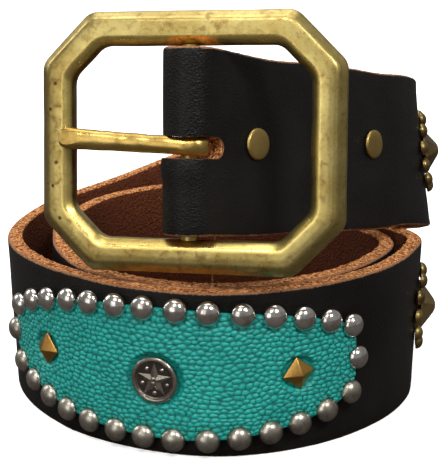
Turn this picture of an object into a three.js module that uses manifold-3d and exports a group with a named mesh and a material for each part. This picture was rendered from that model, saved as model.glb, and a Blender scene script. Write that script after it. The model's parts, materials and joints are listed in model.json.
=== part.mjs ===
// A wide studded leather belt, rolled up and standing on its lower edge, with its buckle
// end lying over the roll. The leather runs from the cut end of the turned-back flap,
// round the buckle's centre bar and down round the coil to the tip inside it.
// Millimetres, +Z up. The viewer of the front stands at -Y.
import * as THREE from 'three';
import { mergeVertices } from 'three/addons/utils/BufferGeometryUtils.js';
import Module from 'manifold-3d';

const wasm = await Module();
wasm.setup();

// Gap kept between two pieces that touch on the real belt
const CLEARANCE = 0.3;

// Strap leather
const STRAP_WIDTH = 44.5;
const STRAP_THICKNESS = 4.3;
const GRAIN_BEVEL = 0.8;
const FLESH_BEVEL = 0.4;
const STATION_STEP = 5.5;

// Coil: radius to the middle of the leather at the front of the roll
const LOOP_RADIUS = 57;

// Rows of the leather's way from the buckle to the tip: the turn in degrees seen from
// above (0 at the right, 270 at the front), the radius as a share of LOOP_RADIUS, the lift
// of the lower edge as a share of STRAP_WIDTH, and the lean towards the middle in degrees.
const COIL_ROWS = [
  { turn: -75, radius: 0.723, lift: 1.25, lean: 10 },
  { turn: -52, radius: 0.625, lift: 1.205, lean: 10 },
  { turn: -24.5, radius: 0.655, lift: 1.14, lean: 9 },
  { turn: -4, radius: 0.79, lift: 1.066, lean: 8 },
  { turn: 9.5, radius: 0.968, lift: 1.015, lean: 9 },
  { turn: 18.5, radius: 1.115, lift: 0.945, lean: 10 },
  { turn: 28, radius: 1.24, lift: 0.855, lean: 9 },
  { turn: 37, radius: 1.33, lift: 0.77, lean: 7 },
  { turn: 48, radius: 1.36, lift: 0.675, lean: 3 },
  { turn: 61, radius: 1.335, lift: 0.565, lean: 2 },
  { turn: 85, radius: 1.24, lift: 0.36, lean: 1 },
  { turn: 115, radius: 1.15, lift: 0.125, lean: 0 },
  { turn: 145, radius: 1.1, lift: 0.035, lean: -1 },
  { turn: 172, radius: 1.055, lift: 0.004, lean: -2 },
  { turn: 195, radius: 1.02, lift: 0.003, lean: -1.5 },
  { turn: 220, radius: 0.985, lift: 0, lean: 0 },
  { turn: 245, radius: 0.99, lift: 0, lean: 0 },
  { turn: 270, radius: 1.01, lift: 0, lean: 0 },
  { turn: 295, radius: 0.99, lift: 0, lean: 0 },
  { turn: 320, radius: 0.982, lift: 0, lean: 0 },
  { turn: 340, radius: 0.99, lift: 0, lean: 0 },
  { turn: 358, radius: 1.0, lift: 0, lean: 0 },
  { turn: 366, radius: 0.965, lift: 0.006, lean: 5 },
  { turn: 376, radius: 0.905, lift: 0.008, lean: 6 },
  { turn: 392, radius: 0.88, lift: 0.01, lean: 3 },
  { turn: 420, radius: 0.92, lift: 0.04, lean: 0 },
  { turn: 455, radius: 0.955, lift: 0.07, lean: 0 },
  { turn: 490, radius: 0.95, lift: 0.04, lean: 0 },
  { turn: 520, radius: 0.88, lift: 0, lean: 0 },
  { turn: 545, radius: 0.82, lift: 0, lean: 0 },
  { turn: 565, radius: 0.83, lift: 0, lean: 0 },
  { turn: 590, radius: 0.885, lift: 0, lean: 0 },
  { turn: 625, radius: 0.925, lift: 0, lean: 0 },
  { turn: 655, radius: 0.9, lift: 0, lean: 0 },
  { turn: 685, radius: 0.875, lift: 0, lean: 0 },
  { turn: 712, radius: 0.86, lift: 0, lean: 0 },
  { turn: 726, radius: 0.8, lift: 0.006, lean: 4 },
  { turn: 740, radius: 0.76, lift: 0.008, lean: 5 },
  { turn: 775, radius: 0.76, lift: 0.003, lean: 1 },
  { turn: 812, radius: 0.78, lift: 0, lean: 0 },
];

// Tail of the belt: the rounded tip and its row of plain holes
const TIP_LENGTH = 26;
const TIP_STATIONS = 7;
const TIP_END_SHARE = 0.3;
const TAIL_HOLES = 5;
const TAIL_HOLE_RADIUS = 2.3;
const TAIL_HOLE_PITCH = 25;
const TAIL_HOLE_FIRST = 62;

// Buckle frame with its centre bar. Its opening is the strap's width and some play at
// each edge.
const FRAME_BAND = 8.6;
const FRAME_PLAY = 1.9;
const FRAME_WIDTH = 78.6;
const FRAME_HEIGHT = STRAP_WIDTH + 2 * (FRAME_BAND + FRAME_PLAY);
const FRAME_CLIP = 12.8;
const FRAME_THICKNESS = 5.4;
const FRAME_CORNER = 4.5;
const BAR_RADIUS = 2.2;

// Where the centre bar stands over the coil, how it leans back, and how far the frame
// is swung round it from the front plane
const BAR_X = -6.9;
const BAR_Y = -50.6;
const BAR_Z = 1.8202 * STRAP_WIDTH;
const BAR_LEAN_BACK = 10;
const BAR_LEAN_RIGHT = 0.5;
const FRAME_SWING = -15;

// Turned-back flap, its fold round the bar and the slot for the prong
const STRAP_HEADING = 46;
const FOLD_CLEARANCE = 0.4;
const FLAP_LENGTH = 74;
const FLAP_PINCH = 12.5;
const FLAP_GAP = 0.5;
const FOLD_STEPS = 10;
const SLOT_HEIGHT = 6.6;
const SLOT_REACH = 5.5;
const SLOT_ACROSS = -0.7;

// Prong
const PRONG_WIDTH = 5;
const PRONG_THICKNESS = 3.6;
const PRONG_EYE_WALL = 2.5;
const PRONG_TIP_OVERLAP = 2.4;
const PRONG_TILT = 3;

// Rivets through strap and flap
const RIVET_CAP_RADIUS = 4.1;
const RIVET_CAP_HEIGHT = 1;
const RIVET_SHANK_RADIUS = 1.6;
const RIVET_PLACES = [
  { along: 0.3775 * STRAP_WIDTH, across: 0.0157 * STRAP_WIDTH },
  { along: 1.5056 * STRAP_WIDTH, across: 0.0404 * STRAP_WIDTH },
];

// Turquoise patch on the outside of the coil's front, with its row of dome studs
const PATCH_THICKNESS = 0.9;
const PATCH_LENGTH = 102.5;
const PATCH_HEIGHT = 35;
const PATCH_MIDDLE = -14.3;
const PATCH_COLUMNS = 30;
const PATCH_ROWS = 5;
const DOME_RADIUS = 3;
const DOME_HEIGHT = 2.6;

// Metal ornaments on the patch and beside it
const CONCHO_RADIUS = 6.3;
const CONCHO_HEIGHT = 2.2;
const PYRAMID_ACROSS = 9.2;
const PYRAMID_HEIGHT = 2.8;
const SPOT_RADIUS = 7.5;
const SPOT_HEIGHT = 5.2;
const BEAD_RADIUS = 2.35;
const BEAD_HEIGHT = 2.1;
const BEAD_COUNT = 12;
const BEAD_RING_RADIUS = 10.8;
const BEAD_WEB = 0.6;

// Gap under the ornaments beside the patch, where the leather bends most
const BEND_CLEARANCE = 0.5;

const UP = new THREE.Vector3(0, 0, 1);
const radians = THREE.MathUtils.degToRad;

const leather = () => new THREE.MeshStandardMaterial({ color: 0x17140f, roughness: 0.5, metalness: 0 });
const turquoise = () => new THREE.MeshStandardMaterial({ color: 0x1f9f94, roughness: 0.55, metalness: 0 });
const brass = () => new THREE.MeshStandardMaterial({ color: 0xab914b, roughness: 0.35, metalness: 1 });
const nickel = () => new THREE.MeshStandardMaterial({ color: 0xb9b7b2, roughness: 0.2, metalness: 1 });
const agedSilver = () => new THREE.MeshStandardMaterial({ color: 0x8f8d89, roughness: 0.35, metalness: 1 });

function meshOf(points, triangles) {
  const geometry = new THREE.BufferGeometry();
  geometry.setAttribute('position', new THREE.Float32BufferAttribute(points, 3));
  geometry.setIndex(triangles);
  return geometry;
}

// Closed skin through rings of points that all have the same count. Open chains of rings
// get a flat fan at both ends, and closed ones join their last ring to the first.
function skin(rings, closed = false) {
  const sides = rings[0].length;
  const points = rings.flat().flatMap((point) => [point.x, point.y, point.z]);
  const triangles = [];
  const spans = closed ? rings.length : rings.length - 1;
  for (let ring = 0; ring < spans; ring += 1) {
    const near = ring * sides;
    const far = ((ring + 1) % rings.length) * sides;
    for (let side = 0; side < sides; side += 1) {
      const next = (side + 1) % sides;
      triangles.push(near + side, near + next, far + next);
      triangles.push(near + side, far + next, far + side);
    }
  }
  if (!closed) {
    const last = (rings.length - 1) * sides;
    for (let side = 1; side < sides - 1; side += 1) {
      triangles.push(0, side + 1, side);
      triangles.push(last, last + side, last + side + 1);
    }
  }
  return meshOf(points, triangles);
}

function toSolid(geometry) {
  const bare = geometry.clone();
  bare.deleteAttribute('normal');
  bare.deleteAttribute('uv');
  const merged = mergeVertices(bare, 1e-4);
  return new wasm.Manifold(new wasm.Mesh({
    numProp: 3,
    vertProperties: new Float32Array(merged.attributes.position.array),
    triVerts: new Uint32Array(merged.index.array),
  }));
}

function toGeometry(solid) {
  const mesh = solid.getMesh();
  return meshOf(Array.from(mesh.vertProperties), Array.from(mesh.triVerts));
}

function placed(geometry, matrix) {
  return geometry.clone().applyMatrix4(matrix);
}

// Round piece turned about +Z from rows of radius and height
function turned(rows, sides) {
  const profile = rows.map(([radius, height]) => new THREE.Vector2(radius, height));
  return new THREE.LatheGeometry(profile, sides).rotateX(Math.PI / 2);
}

// Half of a flattened ball on a flat base
function dome(radius, height, sides, levels) {
  const rows = [[0, 0]];
  for (let level = 0; level < levels; level += 1) {
    const angle = (level / levels) * (Math.PI / 2);
    rows.push([radius * Math.cos(angle), height * (0.12 + 0.88 * Math.sin(angle))]);
  }
  rows.splice(1, 0, [radius * 0.94, 0]);
  rows.push([0, height]);
  return turned(rows, sides);
}

// Buckle axes: the bar's direction, the frame's right-hand direction and its face
const barUp = new THREE.Vector3(
  Math.tan(radians(BAR_LEAN_RIGHT)), Math.tan(radians(BAR_LEAN_BACK)), 1).normalize();
const barCentre = new THREE.Vector3(BAR_X, BAR_Y, BAR_Z);

// Unit direction square to the bar that heads the given way when seen from above
function squareToBar(heading) {
  const level = new THREE.Vector3(Math.cos(radians(heading)), Math.sin(radians(heading)), 0);
  return level.addScaledVector(barUp, -level.dot(barUp)).normalize();
}

const frameRight = squareToBar(FRAME_SWING);
const frameFace = new THREE.Vector3().crossVectors(frameRight, barUp);
const frameMatrix = new THREE.Matrix4().makeBasis(frameRight, barUp, frameFace).setPosition(barCentre);

const strapAlong = squareToBar(STRAP_HEADING);
const strapOut = new THREE.Vector3().crossVectors(strapAlong, barUp);
const foldMatrix = new THREE.Matrix4().makeBasis(strapAlong, barUp, strapOut).setPosition(barCentre);
const foldRadius = BAR_RADIUS + FOLD_CLEARANCE + STRAP_THICKNESS / 2;

// Way of the leather's middle from the front of the fold to the tip
const coilStart = new THREE.Vector3(0, 0, foldRadius).applyMatrix4(foldMatrix);
const coilPoints = [coilStart];
const coilUps = [barUp];
for (const row of COIL_ROWS) {
  const outward = new THREE.Vector3(Math.cos(radians(row.turn)), Math.sin(radians(row.turn)), 0);
  const point = outward.clone().multiplyScalar(row.radius * LOOP_RADIUS);
  point.z = (row.lift + 0.5) * STRAP_WIDTH;
  coilPoints.push(point);
  coilUps.push(UP.clone().addScaledVector(outward, -Math.tan(radians(row.lean))).normalize());
}
const coil = new THREE.CatmullRomCurve3(coilPoints, false, 'centripetal');
coil.arcLengthDivisions = 4000;
const coilUp = new THREE.CatmullRomCurve3(coilUps, false, 'centripetal');
const coilLength = coil.getLength();

// Station at a length along the coil: its point, and the directions along the strap,
// out of its black face and up across its width
function stationAt(length) {
  const share = THREE.MathUtils.clamp(length / coilLength, 0, 1);
  const place = coil.getUtoTmapping(share);
  const point = coil.getPoint(place);
  const along = coil.getTangent(place);
  const out = new THREE.Vector3().crossVectors(along, coilUp.getPoint(place)).normalize();
  const up = new THREE.Vector3().crossVectors(out, along);
  return { point, along, out, up };
}

// Point over the black face: length along the coil, place across the strap from its
// middle, and height over the leather
function overFace(length, across, height) {
  const station = stationAt(length);
  return station.point.clone()
    .addScaledVector(station.out, STRAP_THICKNESS / 2 + height)
    .addScaledVector(station.up, across);
}

// Placing matrix for an ornament whose base lies on its own z = 0 plane
function seat(length, across, height, spin = 0) {
  const station = stationAt(length);
  return new THREE.Matrix4().makeBasis(station.along, station.up, station.out)
    .setPosition(overFace(length, across, height))
    .multiply(new THREE.Matrix4().makeRotationZ(radians(spin)));
}

// Length along the coil at which it has turned by the given number of degrees
function lengthAtTurn(turn) {
  const row = COIL_ROWS.findIndex((entry) => entry.turn >= turn);
  const before = COIL_ROWS[row - 1];
  const share = (turn - before.turn) / (COIL_ROWS[row].turn - before.turn);
  const place = (row + share) / (coilPoints.length - 1);
  const lengths = coil.getLengths();
  return lengths[Math.round(place * (lengths.length - 1))];
}

const frontLength = lengthAtTurn(270);

// Strap

// Section across the leather, pressed flat where its lower edge stands on the surface
function strapSection(point, out, up, halfWidth) {
  const half = STRAP_THICKNESS / 2;
  const corner = (across, height) => {
    const place = point.clone().addScaledVector(out, across).addScaledVector(up, height);
    place.z = Math.max(place.z, 0);
    return place;
  };
  return [
    corner(half, halfWidth - GRAIN_BEVEL),
    corner(half, -halfWidth + GRAIN_BEVEL),
    corner(half - GRAIN_BEVEL, -halfWidth),
    corner(-half + FLESH_BEVEL, -halfWidth),
    corner(-half, -halfWidth + FLESH_BEVEL),
    corner(-half, halfWidth - FLESH_BEVEL),
    corner(-half + FLESH_BEVEL, halfWidth),
    corner(half - GRAIN_BEVEL, halfWidth),
  ];
}

// Section of the flap behind the strap: at the fold it lies opposite the strap's front
// layer, and past the pinch it lies against it, black face to the back
function flapStation(length) {
  const station = stationAt(length);
  const apart = STRAP_THICKNESS + FLAP_GAP;
  const widening = 2 * foldRadius - apart;
  const near = THREE.MathUtils.clamp(1 - length / FLAP_PINCH, 0, 1);
  const gap = apart + widening * THREE.MathUtils.smoothstep(near, 0, 1);
  const slope = Math.atan(widening * 6 * near * (1 - near) / FLAP_PINCH);
  return {
    point: station.point.clone().addScaledVector(station.out, -gap),
    out: station.out.clone().multiplyScalar(-Math.cos(slope))
      .addScaledVector(station.along, Math.sin(slope)),
    up: station.up,
  };
}

function strapStations() {
  const stations = [];
  const flapSteps = Math.round(FLAP_LENGTH / STATION_STEP) + 5;
  for (let step = flapSteps; step > 0; step -= 1) {
    stations.push(flapStation((step / flapSteps) * FLAP_LENGTH));
  }
  for (let step = 0; step <= FOLD_STEPS; step += 1) {
    const angle = (step / FOLD_STEPS) * Math.PI;
    const out = new THREE.Vector3(-Math.sin(angle), 0, -Math.cos(angle)).transformDirection(foldMatrix);
    stations.push({ point: barCentre.clone().addScaledVector(out, foldRadius), out, up: barUp });
  }
  const steps = Math.round((coilLength - TIP_LENGTH) / STATION_STEP);
  for (let step = 1; step <= steps; step += 1) {
    stations.push(stationAt((step / steps) * (coilLength - TIP_LENGTH)));
  }
  const tipAngle = Math.acos(TIP_END_SHARE);
  for (let step = 1; step <= TIP_STATIONS; step += 1) {
    const angle = (step / TIP_STATIONS) * tipAngle;
    const left = TIP_LENGTH * (1 - Math.sin(angle) / Math.sin(tipAngle));
    stations.push({ ...stationAt(coilLength - left), narrow: Math.cos(angle) });
  }
  return stations;
}

function strapGeometry() {
  const sections = strapStations().map(({ point, out, up, narrow = 1 }) => (
    strapSection(point, out, up, (STRAP_WIDTH / 2) * narrow)));
  let solid = toSolid(skin(sections));

  const slotHalf = SLOT_HEIGHT / 2;
  const slot = new THREE.Shape();
  slot.moveTo(-3 * foldRadius, -slotHalf);
  slot.lineTo(SLOT_REACH - slotHalf, -slotHalf);
  slot.absarc(SLOT_REACH - slotHalf, 0, slotHalf, -Math.PI / 2, Math.PI / 2, false);
  slot.lineTo(-3 * foldRadius, slotHalf);
  const cut = 4 * foldRadius;
  const slotCut = new THREE.ExtrudeGeometry(slot, { depth: cut, bevelEnabled: false, curveSegments: 8 });
  slotCut.translate(0, SLOT_ACROSS, -cut / 2);
  solid = solid.subtract(toSolid(placed(slotCut, foldMatrix)));

  const holeDepth = 4 * STRAP_THICKNESS;
  for (const place of RIVET_PLACES) {
    const bore = new THREE.CylinderGeometry(
      RIVET_SHANK_RADIUS + CLEARANCE, RIVET_SHANK_RADIUS + CLEARANCE, holeDepth, 12).rotateX(Math.PI / 2);
    solid = solid.subtract(toSolid(placed(bore, seat(place.along, place.across, -STRAP_THICKNESS))));
  }
  for (let hole = 0; hole < TAIL_HOLES; hole += 1) {
    const bore = new THREE.CylinderGeometry(
      TAIL_HOLE_RADIUS, TAIL_HOLE_RADIUS, 2 * STRAP_THICKNESS, 12).rotateX(Math.PI / 2);
    const length = coilLength - TAIL_HOLE_FIRST - hole * TAIL_HOLE_PITCH;
    solid = solid.subtract(toSolid(placed(bore, seat(length, 0, -STRAP_THICKNESS / 2))));
  }
  return toGeometry(solid);
}

// Buckle

// Outline of the frame at a distance inside its outer edge, as an octagon with each
// corner rounded by a few points, at the given height over the frame's middle plane
function frameOutline(inset, height) {
  const halfWidth = FRAME_WIDTH / 2 - inset;
  const halfHeight = FRAME_HEIGHT / 2 - inset;
  const clip = FRAME_CLIP - inset * (2 - Math.SQRT2);
  const radius = FRAME_CORNER * (1 - 0.4 * (inset / FRAME_BAND));
  const corners = [
    [halfWidth, -halfHeight + clip], [halfWidth, halfHeight - clip],
    [halfWidth - clip, halfHeight], [-halfWidth + clip, halfHeight],
    [-halfWidth, halfHeight - clip], [-halfWidth, -halfHeight + clip],
    [-halfWidth + clip, -halfHeight], [halfWidth - clip, -halfHeight],
  ];
  const cornerPoints = 3;
  const turnHalf = Math.PI / 8;
  const back = radius * Math.tan(turnHalf);
  const points = [];
  corners.forEach(([x, y], index) => {
    const before = corners[(index + 7) % 8];
    const away = Math.atan2(y - before[1], x - before[0]);
    const centreX = x - back * Math.cos(away) - radius * Math.sin(away);
    const centreY = y - back * Math.sin(away) + radius * Math.cos(away);
    for (let step = 0; step < cornerPoints; step += 1) {
      const angle = away - Math.PI / 2 + (step / (cornerPoints - 1)) * (Math.PI / 4);
      points.push(new THREE.Vector3(
        centreX + radius * Math.cos(angle), centreY + radius * Math.sin(angle), height));
    }
  });
  return points;
}

function frameGeometry() {
  const half = FRAME_THICKNESS / 2;
  const rows = [
    { inset: 0.02, height: -0.8 }, { inset: 0, height: 0.1 }, { inset: 0.13, height: 0.6 },
    { inset: 0.3, height: 0.93 }, { inset: 0.5, height: 1 }, { inset: 0.7, height: 0.93 },
    { inset: 0.87, height: 0.6 }, { inset: 1, height: 0.1 }, { inset: 0.98, height: -0.8 },
    { inset: 0.88, height: -1 }, { inset: 0.12, height: -1 },
  ];
  const rings = rows.map((row) => frameOutline(row.inset * FRAME_BAND, row.height * half));
  const ring = toSolid(skin(rings, true));
  const barLength = FRAME_HEIGHT - FRAME_BAND;
  const bar = new THREE.CylinderGeometry(BAR_RADIUS, BAR_RADIUS, barLength, 12);
  return placed(toGeometry(ring.add(toSolid(bar))), frameMatrix);
}

// Prong: an eye round the bar and a shank that lies on the frame's left side
function prongGeometry() {
  const eyeInner = BAR_RADIUS + CLEARANCE;
  const eyeOuter = eyeInner + PRONG_EYE_WALL;
  const half = PRONG_WIDTH / 2;
  const eyeProfile = [
    [eyeInner, -half], [eyeOuter - 0.5, -half], [eyeOuter, -half + 0.7],
    [eyeOuter, half - 0.7], [eyeOuter - 0.5, half], [eyeInner, half], [eyeInner, -half],
  ];
  const eye = new THREE.LatheGeometry(eyeProfile.map(([x, y]) => new THREE.Vector2(x, y)), 20);

  const restHeight = FRAME_THICKNESS / 2 + CLEARANCE + PRONG_THICKNESS / 2;
  const eyeHeight = eyeOuter - PRONG_THICKNESS / 2 - 0.1;
  const reach = FRAME_WIDTH / 2 - FRAME_BAND + PRONG_TIP_OVERLAP;
  const rows = [
    { along: 0.02, height: eyeHeight, width: 0.94, thickness: 1 },
    { along: 0.14, height: eyeHeight + 0.2, width: 1, thickness: 1 },
    { along: 0.24, height: eyeHeight + 0.3, width: 0.9, thickness: 0.94 },
    { along: 0.4, height: restHeight - 0.1, width: 0.88, thickness: 0.96 },
    { along: 0.75, height: restHeight, width: 0.9, thickness: 1 },
    { along: 0.93, height: restHeight, width: 0.94, thickness: 1 },
    { along: 0.98, height: restHeight - 0.1, width: 0.72, thickness: 0.8 },
    { along: 1, height: restHeight - 0.2, width: 0.4, thickness: 0.5 },
  ];
  const sides = 12;
  const rings = rows.map((row) => {
    const x = -row.along * reach;
    const points = [];
    for (let side = 0; side < sides; side += 1) {
      const angle = (side / sides) * 2 * Math.PI;
      const y = Math.cos(angle) * half * row.width + Math.tan(radians(PRONG_TILT)) * -x;
      const z = row.height - Math.sin(angle) * (PRONG_THICKNESS / 2) * row.thickness;
      points.push(new THREE.Vector3(x, y, z));
    }
    return points;
  });
  const shank = toSolid(skin(rings));
  const bore = new THREE.CylinderGeometry(eyeInner, eyeInner, 2 * PRONG_WIDTH, 20);
  const prong = toGeometry(shank.add(toSolid(eye)).subtract(toSolid(bore)));
  return placed(prong.translate(0, SLOT_ACROSS, 0), frameMatrix);
}

// Rivet: a flat cap on the black face, the shank and a plain washer behind the flap
function rivetGeometry(place) {
  const depth = 2 * STRAP_THICKNESS + FLAP_GAP + 2 * CLEARANCE;
  const cap = RIVET_CAP_RADIUS;
  const rows = [
    [0, -depth - RIVET_CAP_HEIGHT], [cap * 0.86, -depth - RIVET_CAP_HEIGHT],
    [cap * 0.95, -depth], [RIVET_SHANK_RADIUS, -depth], [RIVET_SHANK_RADIUS, 0], [cap, 0],
    [cap, RIVET_CAP_HEIGHT * 0.5], [cap * 0.84, RIVET_CAP_HEIGHT * 0.92], [0, RIVET_CAP_HEIGHT],
  ];
  return placed(turned(rows, 16), seat(place.along, place.across, CLEARANCE));
}

// Patch

const halfLength = PATCH_LENGTH / 2;
const halfHeight = PATCH_HEIGHT / 2;

// Sides of the patch's outline in its own plane, from its top left corner clockwise. The
// stud counts leave out each side's last stud, which starts the next side.
const PATCH_SIDES = [
  {
    studs: 13,
    curve: new THREE.CubicBezierCurve(
      new THREE.Vector2(-0.96 * halfLength, 0.5 * halfHeight),
      new THREE.Vector2(-0.6 * halfLength, 1.16 * halfHeight),
      new THREE.Vector2(0.52 * halfLength, 1.2 * halfHeight),
      new THREE.Vector2(0.97 * halfLength, 0.58 * halfHeight)),
  },
  {
    studs: 2,
    curve: new THREE.QuadraticBezierCurve(
      new THREE.Vector2(0.97 * halfLength, 0.58 * halfHeight),
      new THREE.Vector2(1.05 * halfLength, 0.05 * halfHeight),
      new THREE.Vector2(0.97 * halfLength, -0.48 * halfHeight)),
  },
  {
    studs: 13,
    curve: new THREE.CubicBezierCurve(
      new THREE.Vector2(0.97 * halfLength, -0.48 * halfHeight),
      new THREE.Vector2(0.58 * halfLength, -1.14 * halfHeight),
      new THREE.Vector2(-0.58 * halfLength, -1.16 * halfHeight),
      new THREE.Vector2(-0.96 * halfLength, -0.45 * halfHeight)),
  },
  {
    studs: 2,
    curve: new THREE.QuadraticBezierCurve(
      new THREE.Vector2(-0.96 * halfLength, -0.45 * halfHeight),
      new THREE.Vector2(-1.1 * halfLength, 0.02 * halfHeight),
      new THREE.Vector2(-0.96 * halfLength, 0.5 * halfHeight)),
  },
];

const patchMiddle = frontLength + PATCH_MIDDLE;

function studPlaces() {
  return PATCH_SIDES.flatMap((side) => side.curve.getSpacedPoints(side.studs).slice(0, -1));
}

// Height of the outline's upper and lower edges at a place along the patch
function patchSpan(place, outline) {
  const crossings = [];
  outline.forEach((point, index) => {
    const next = outline[(index + 1) % outline.length];
    if ((point.x <= place) !== (next.x <= place)) {
      const share = (place - point.x) / (next.x - point.x);
      crossings.push(point.y + share * (next.y - point.y));
    }
  });
  return { low: Math.min(...crossings), high: Math.max(...crossings) };
}

function patchGeometry() {
  const outline = PATCH_SIDES.flatMap((side) => side.curve.getSpacedPoints(24).slice(0, -1));
  const left = Math.min(...outline.map((point) => point.x));
  const right = Math.max(...outline.map((point) => point.x));
  const rings = [];
  for (let column = 0; column <= PATCH_COLUMNS; column += 1) {
    const share = 0.5 - 0.5 * Math.cos(Math.PI * (0.06 + 0.88 * (column / PATCH_COLUMNS)));
    const place = left + share * (right - left);
    const span = patchSpan(place, outline);
    const ring = [];
    for (let row = PATCH_ROWS; row >= 0; row -= 1) {
      const across = span.low + (row / PATCH_ROWS) * (span.high - span.low);
      ring.push(overFace(patchMiddle + place, across, CLEARANCE + PATCH_THICKNESS));
    }
    for (let row = 0; row <= PATCH_ROWS; row += 1) {
      const across = span.low + (row / PATCH_ROWS) * (span.high - span.low);
      ring.push(overFace(patchMiddle + place, across, CLEARANCE));
    }
    rings.push(ring);
  }
  return skin(rings);
}

// Ornaments

const overPatch = 2 * CLEARANCE + PATCH_THICKNESS;

// Domed disc with a raised rim and a five-pointed star in relief
function conchoGeometry() {
  const radius = CONCHO_RADIUS;
  const height = CONCHO_HEIGHT;
  const rows = [
    [0, 0], [radius * 0.96, 0], [radius, height * 0.3], [radius * 0.95, height * 0.55],
    [radius * 0.86, height * 0.6], [radius * 0.8, height * 0.42], [radius * 0.45, height * 0.6],
    [0, height * 0.68],
  ];
  const star = new THREE.Shape();
  const points = 10;
  for (let point = 0; point < points; point += 1) {
    const reach = radius * (point % 2 === 0 ? 0.72 : 0.27);
    const angle = Math.PI / 2 + (point / points) * 2 * Math.PI;
    star[point === 0 ? 'moveTo' : 'lineTo'](reach * Math.cos(angle), reach * Math.sin(angle));
  }
  star.closePath();
  const raised = new THREE.ExtrudeGeometry(star, { depth: height * 0.8, bevelEnabled: false });
  const boss = turned([[0, 0], [radius * 0.16, 0], [radius * 0.13, height * 0.95], [0, height]], 10);
  return toGeometry(toSolid(turned(rows, 24)).add(toSolid(raised)).add(toSolid(boss)));
}

function pyramidGeometry() {
  const reach = PYRAMID_ACROSS / 2;
  const rows = [
    [0, 0], [reach, 0], [reach, PYRAMID_HEIGHT * 0.16], [reach * 0.1, PYRAMID_HEIGHT * 0.97],
    [0, PYRAMID_HEIGHT],
  ];
  return turned(rows, 4);
}

// Large spot with eight flat sides under a rounded top
function spotGeometry() {
  const rows = [
    [0, 0], [SPOT_RADIUS, 0], [SPOT_RADIUS, SPOT_HEIGHT * 0.12], [SPOT_RADIUS * 0.3, SPOT_HEIGHT * 0.86],
    [SPOT_RADIUS * 0.16, SPOT_HEIGHT * 0.97], [0, SPOT_HEIGHT],
  ];
  return turned(rows, 8);
}

// Ring of small domes round a large spot, joined by a thin web that follows the leather.
// Each dome is swept round the ring by a few sections that swell and shrink.
function beadRingGeometry(length, across) {
  const sweep = [-0.92, -0.55, 0, 0.55, 0.92, 1 + BEAD_WEB];
  const rings = [];
  for (let bead = 0; bead < BEAD_COUNT; bead += 1) {
    for (const place of sweep) {
      const swell = Math.sqrt(Math.max(1 - place * place, 0));
      const half = Math.max(BEAD_RADIUS * swell, BEAD_WEB);
      const top = Math.max(BEAD_HEIGHT * swell, BEAD_WEB);
      const angle = (bead / BEAD_COUNT) * 2 * Math.PI + (place * BEAD_RADIUS) / BEAD_RING_RADIUS;
      const edge = (side, height) => overFace(
        length + (BEAD_RING_RADIUS + side * half) * Math.cos(angle),
        across + (BEAD_RING_RADIUS + side * half) * Math.sin(angle),
        BEND_CLEARANCE + height * top);
      rings.push([edge(-1, 0), edge(-0.75, 0.65), edge(0, 1), edge(0.75, 0.65), edge(1, 0)]);
    }
  }
  return skin(rings, true);
}

// The belt

const belt = new THREE.Group();

function addPiece(name, geometry, material) {
  const piece = new THREE.Mesh(geometry, material);
  piece.name = name;
  belt.add(piece);
}

addPiece('strap', strapGeometry(), leather());
addPiece('buckle_frame', frameGeometry(), brass());
addPiece('prong', prongGeometry(), brass());
RIVET_PLACES.forEach((place, index) => {
  addPiece(`rivet_${index + 1}`, rivetGeometry(place), brass());
});

addPiece('turquoise_patch', patchGeometry(), turquoise());
studPlaces().forEach((place, index) => {
  const matrix = seat(patchMiddle + place.x, place.y, overPatch);
  addPiece(`dome_stud_${index + 1}`, placed(dome(DOME_RADIUS, DOME_HEIGHT, 10, 3), matrix), nickel());
});

const CONCHO_PLACE = { along: -0.016, across: -0.06 };
addPiece('concho', placed(conchoGeometry(), seat(
  patchMiddle + CONCHO_PLACE.along * halfLength, CONCHO_PLACE.across * halfHeight, overPatch)), agedSilver());
const PYRAMID_PLACES = [
  { name: 'pyramid_spot_left', along: -0.69, spin: 0 },
  { name: 'pyramid_spot_right', along: 0.665, spin: 9 },
];
for (const place of PYRAMID_PLACES) {
  const matrix = seat(patchMiddle + place.along * halfLength, 0, overPatch, place.spin);
  addPiece(place.name, placed(pyramidGeometry(), matrix), brass());
}

const CLUSTER_PLACES = [
  { name: 'upper', length: lengthAtTurn(26), across: 0.0337 * STRAP_WIDTH },
  { name: 'lower', length: lengthAtTurn(356), across: 0.0225 * STRAP_WIDTH },
];
for (const place of CLUSTER_PLACES) {
  const matrix = seat(place.length, place.across, BEND_CLEARANCE, 22.5);
  addPiece(`${place.name}_spot`, placed(spotGeometry(), matrix), brass());
  addPiece(`${place.name}_bead_ring`, beadRingGeometry(place.length, place.across), brass());
}

// The origin lies under the middle of the whole belt, on the surface it stands on
const extent = new THREE.Box3().setFromObject(belt);
const middle = extent.getCenter(new THREE.Vector3());
belt.position.set(-middle.x, -middle.y, -extent.min.z);

const part = new THREE.Group();
part.add(belt);

export default part;
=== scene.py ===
"""A rolled black leather belt with an open brass buckle and a studded turquoise patch."""
import json
import math

import bmesh
import bpy
from mathutils import Matrix, Vector, noise


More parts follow.
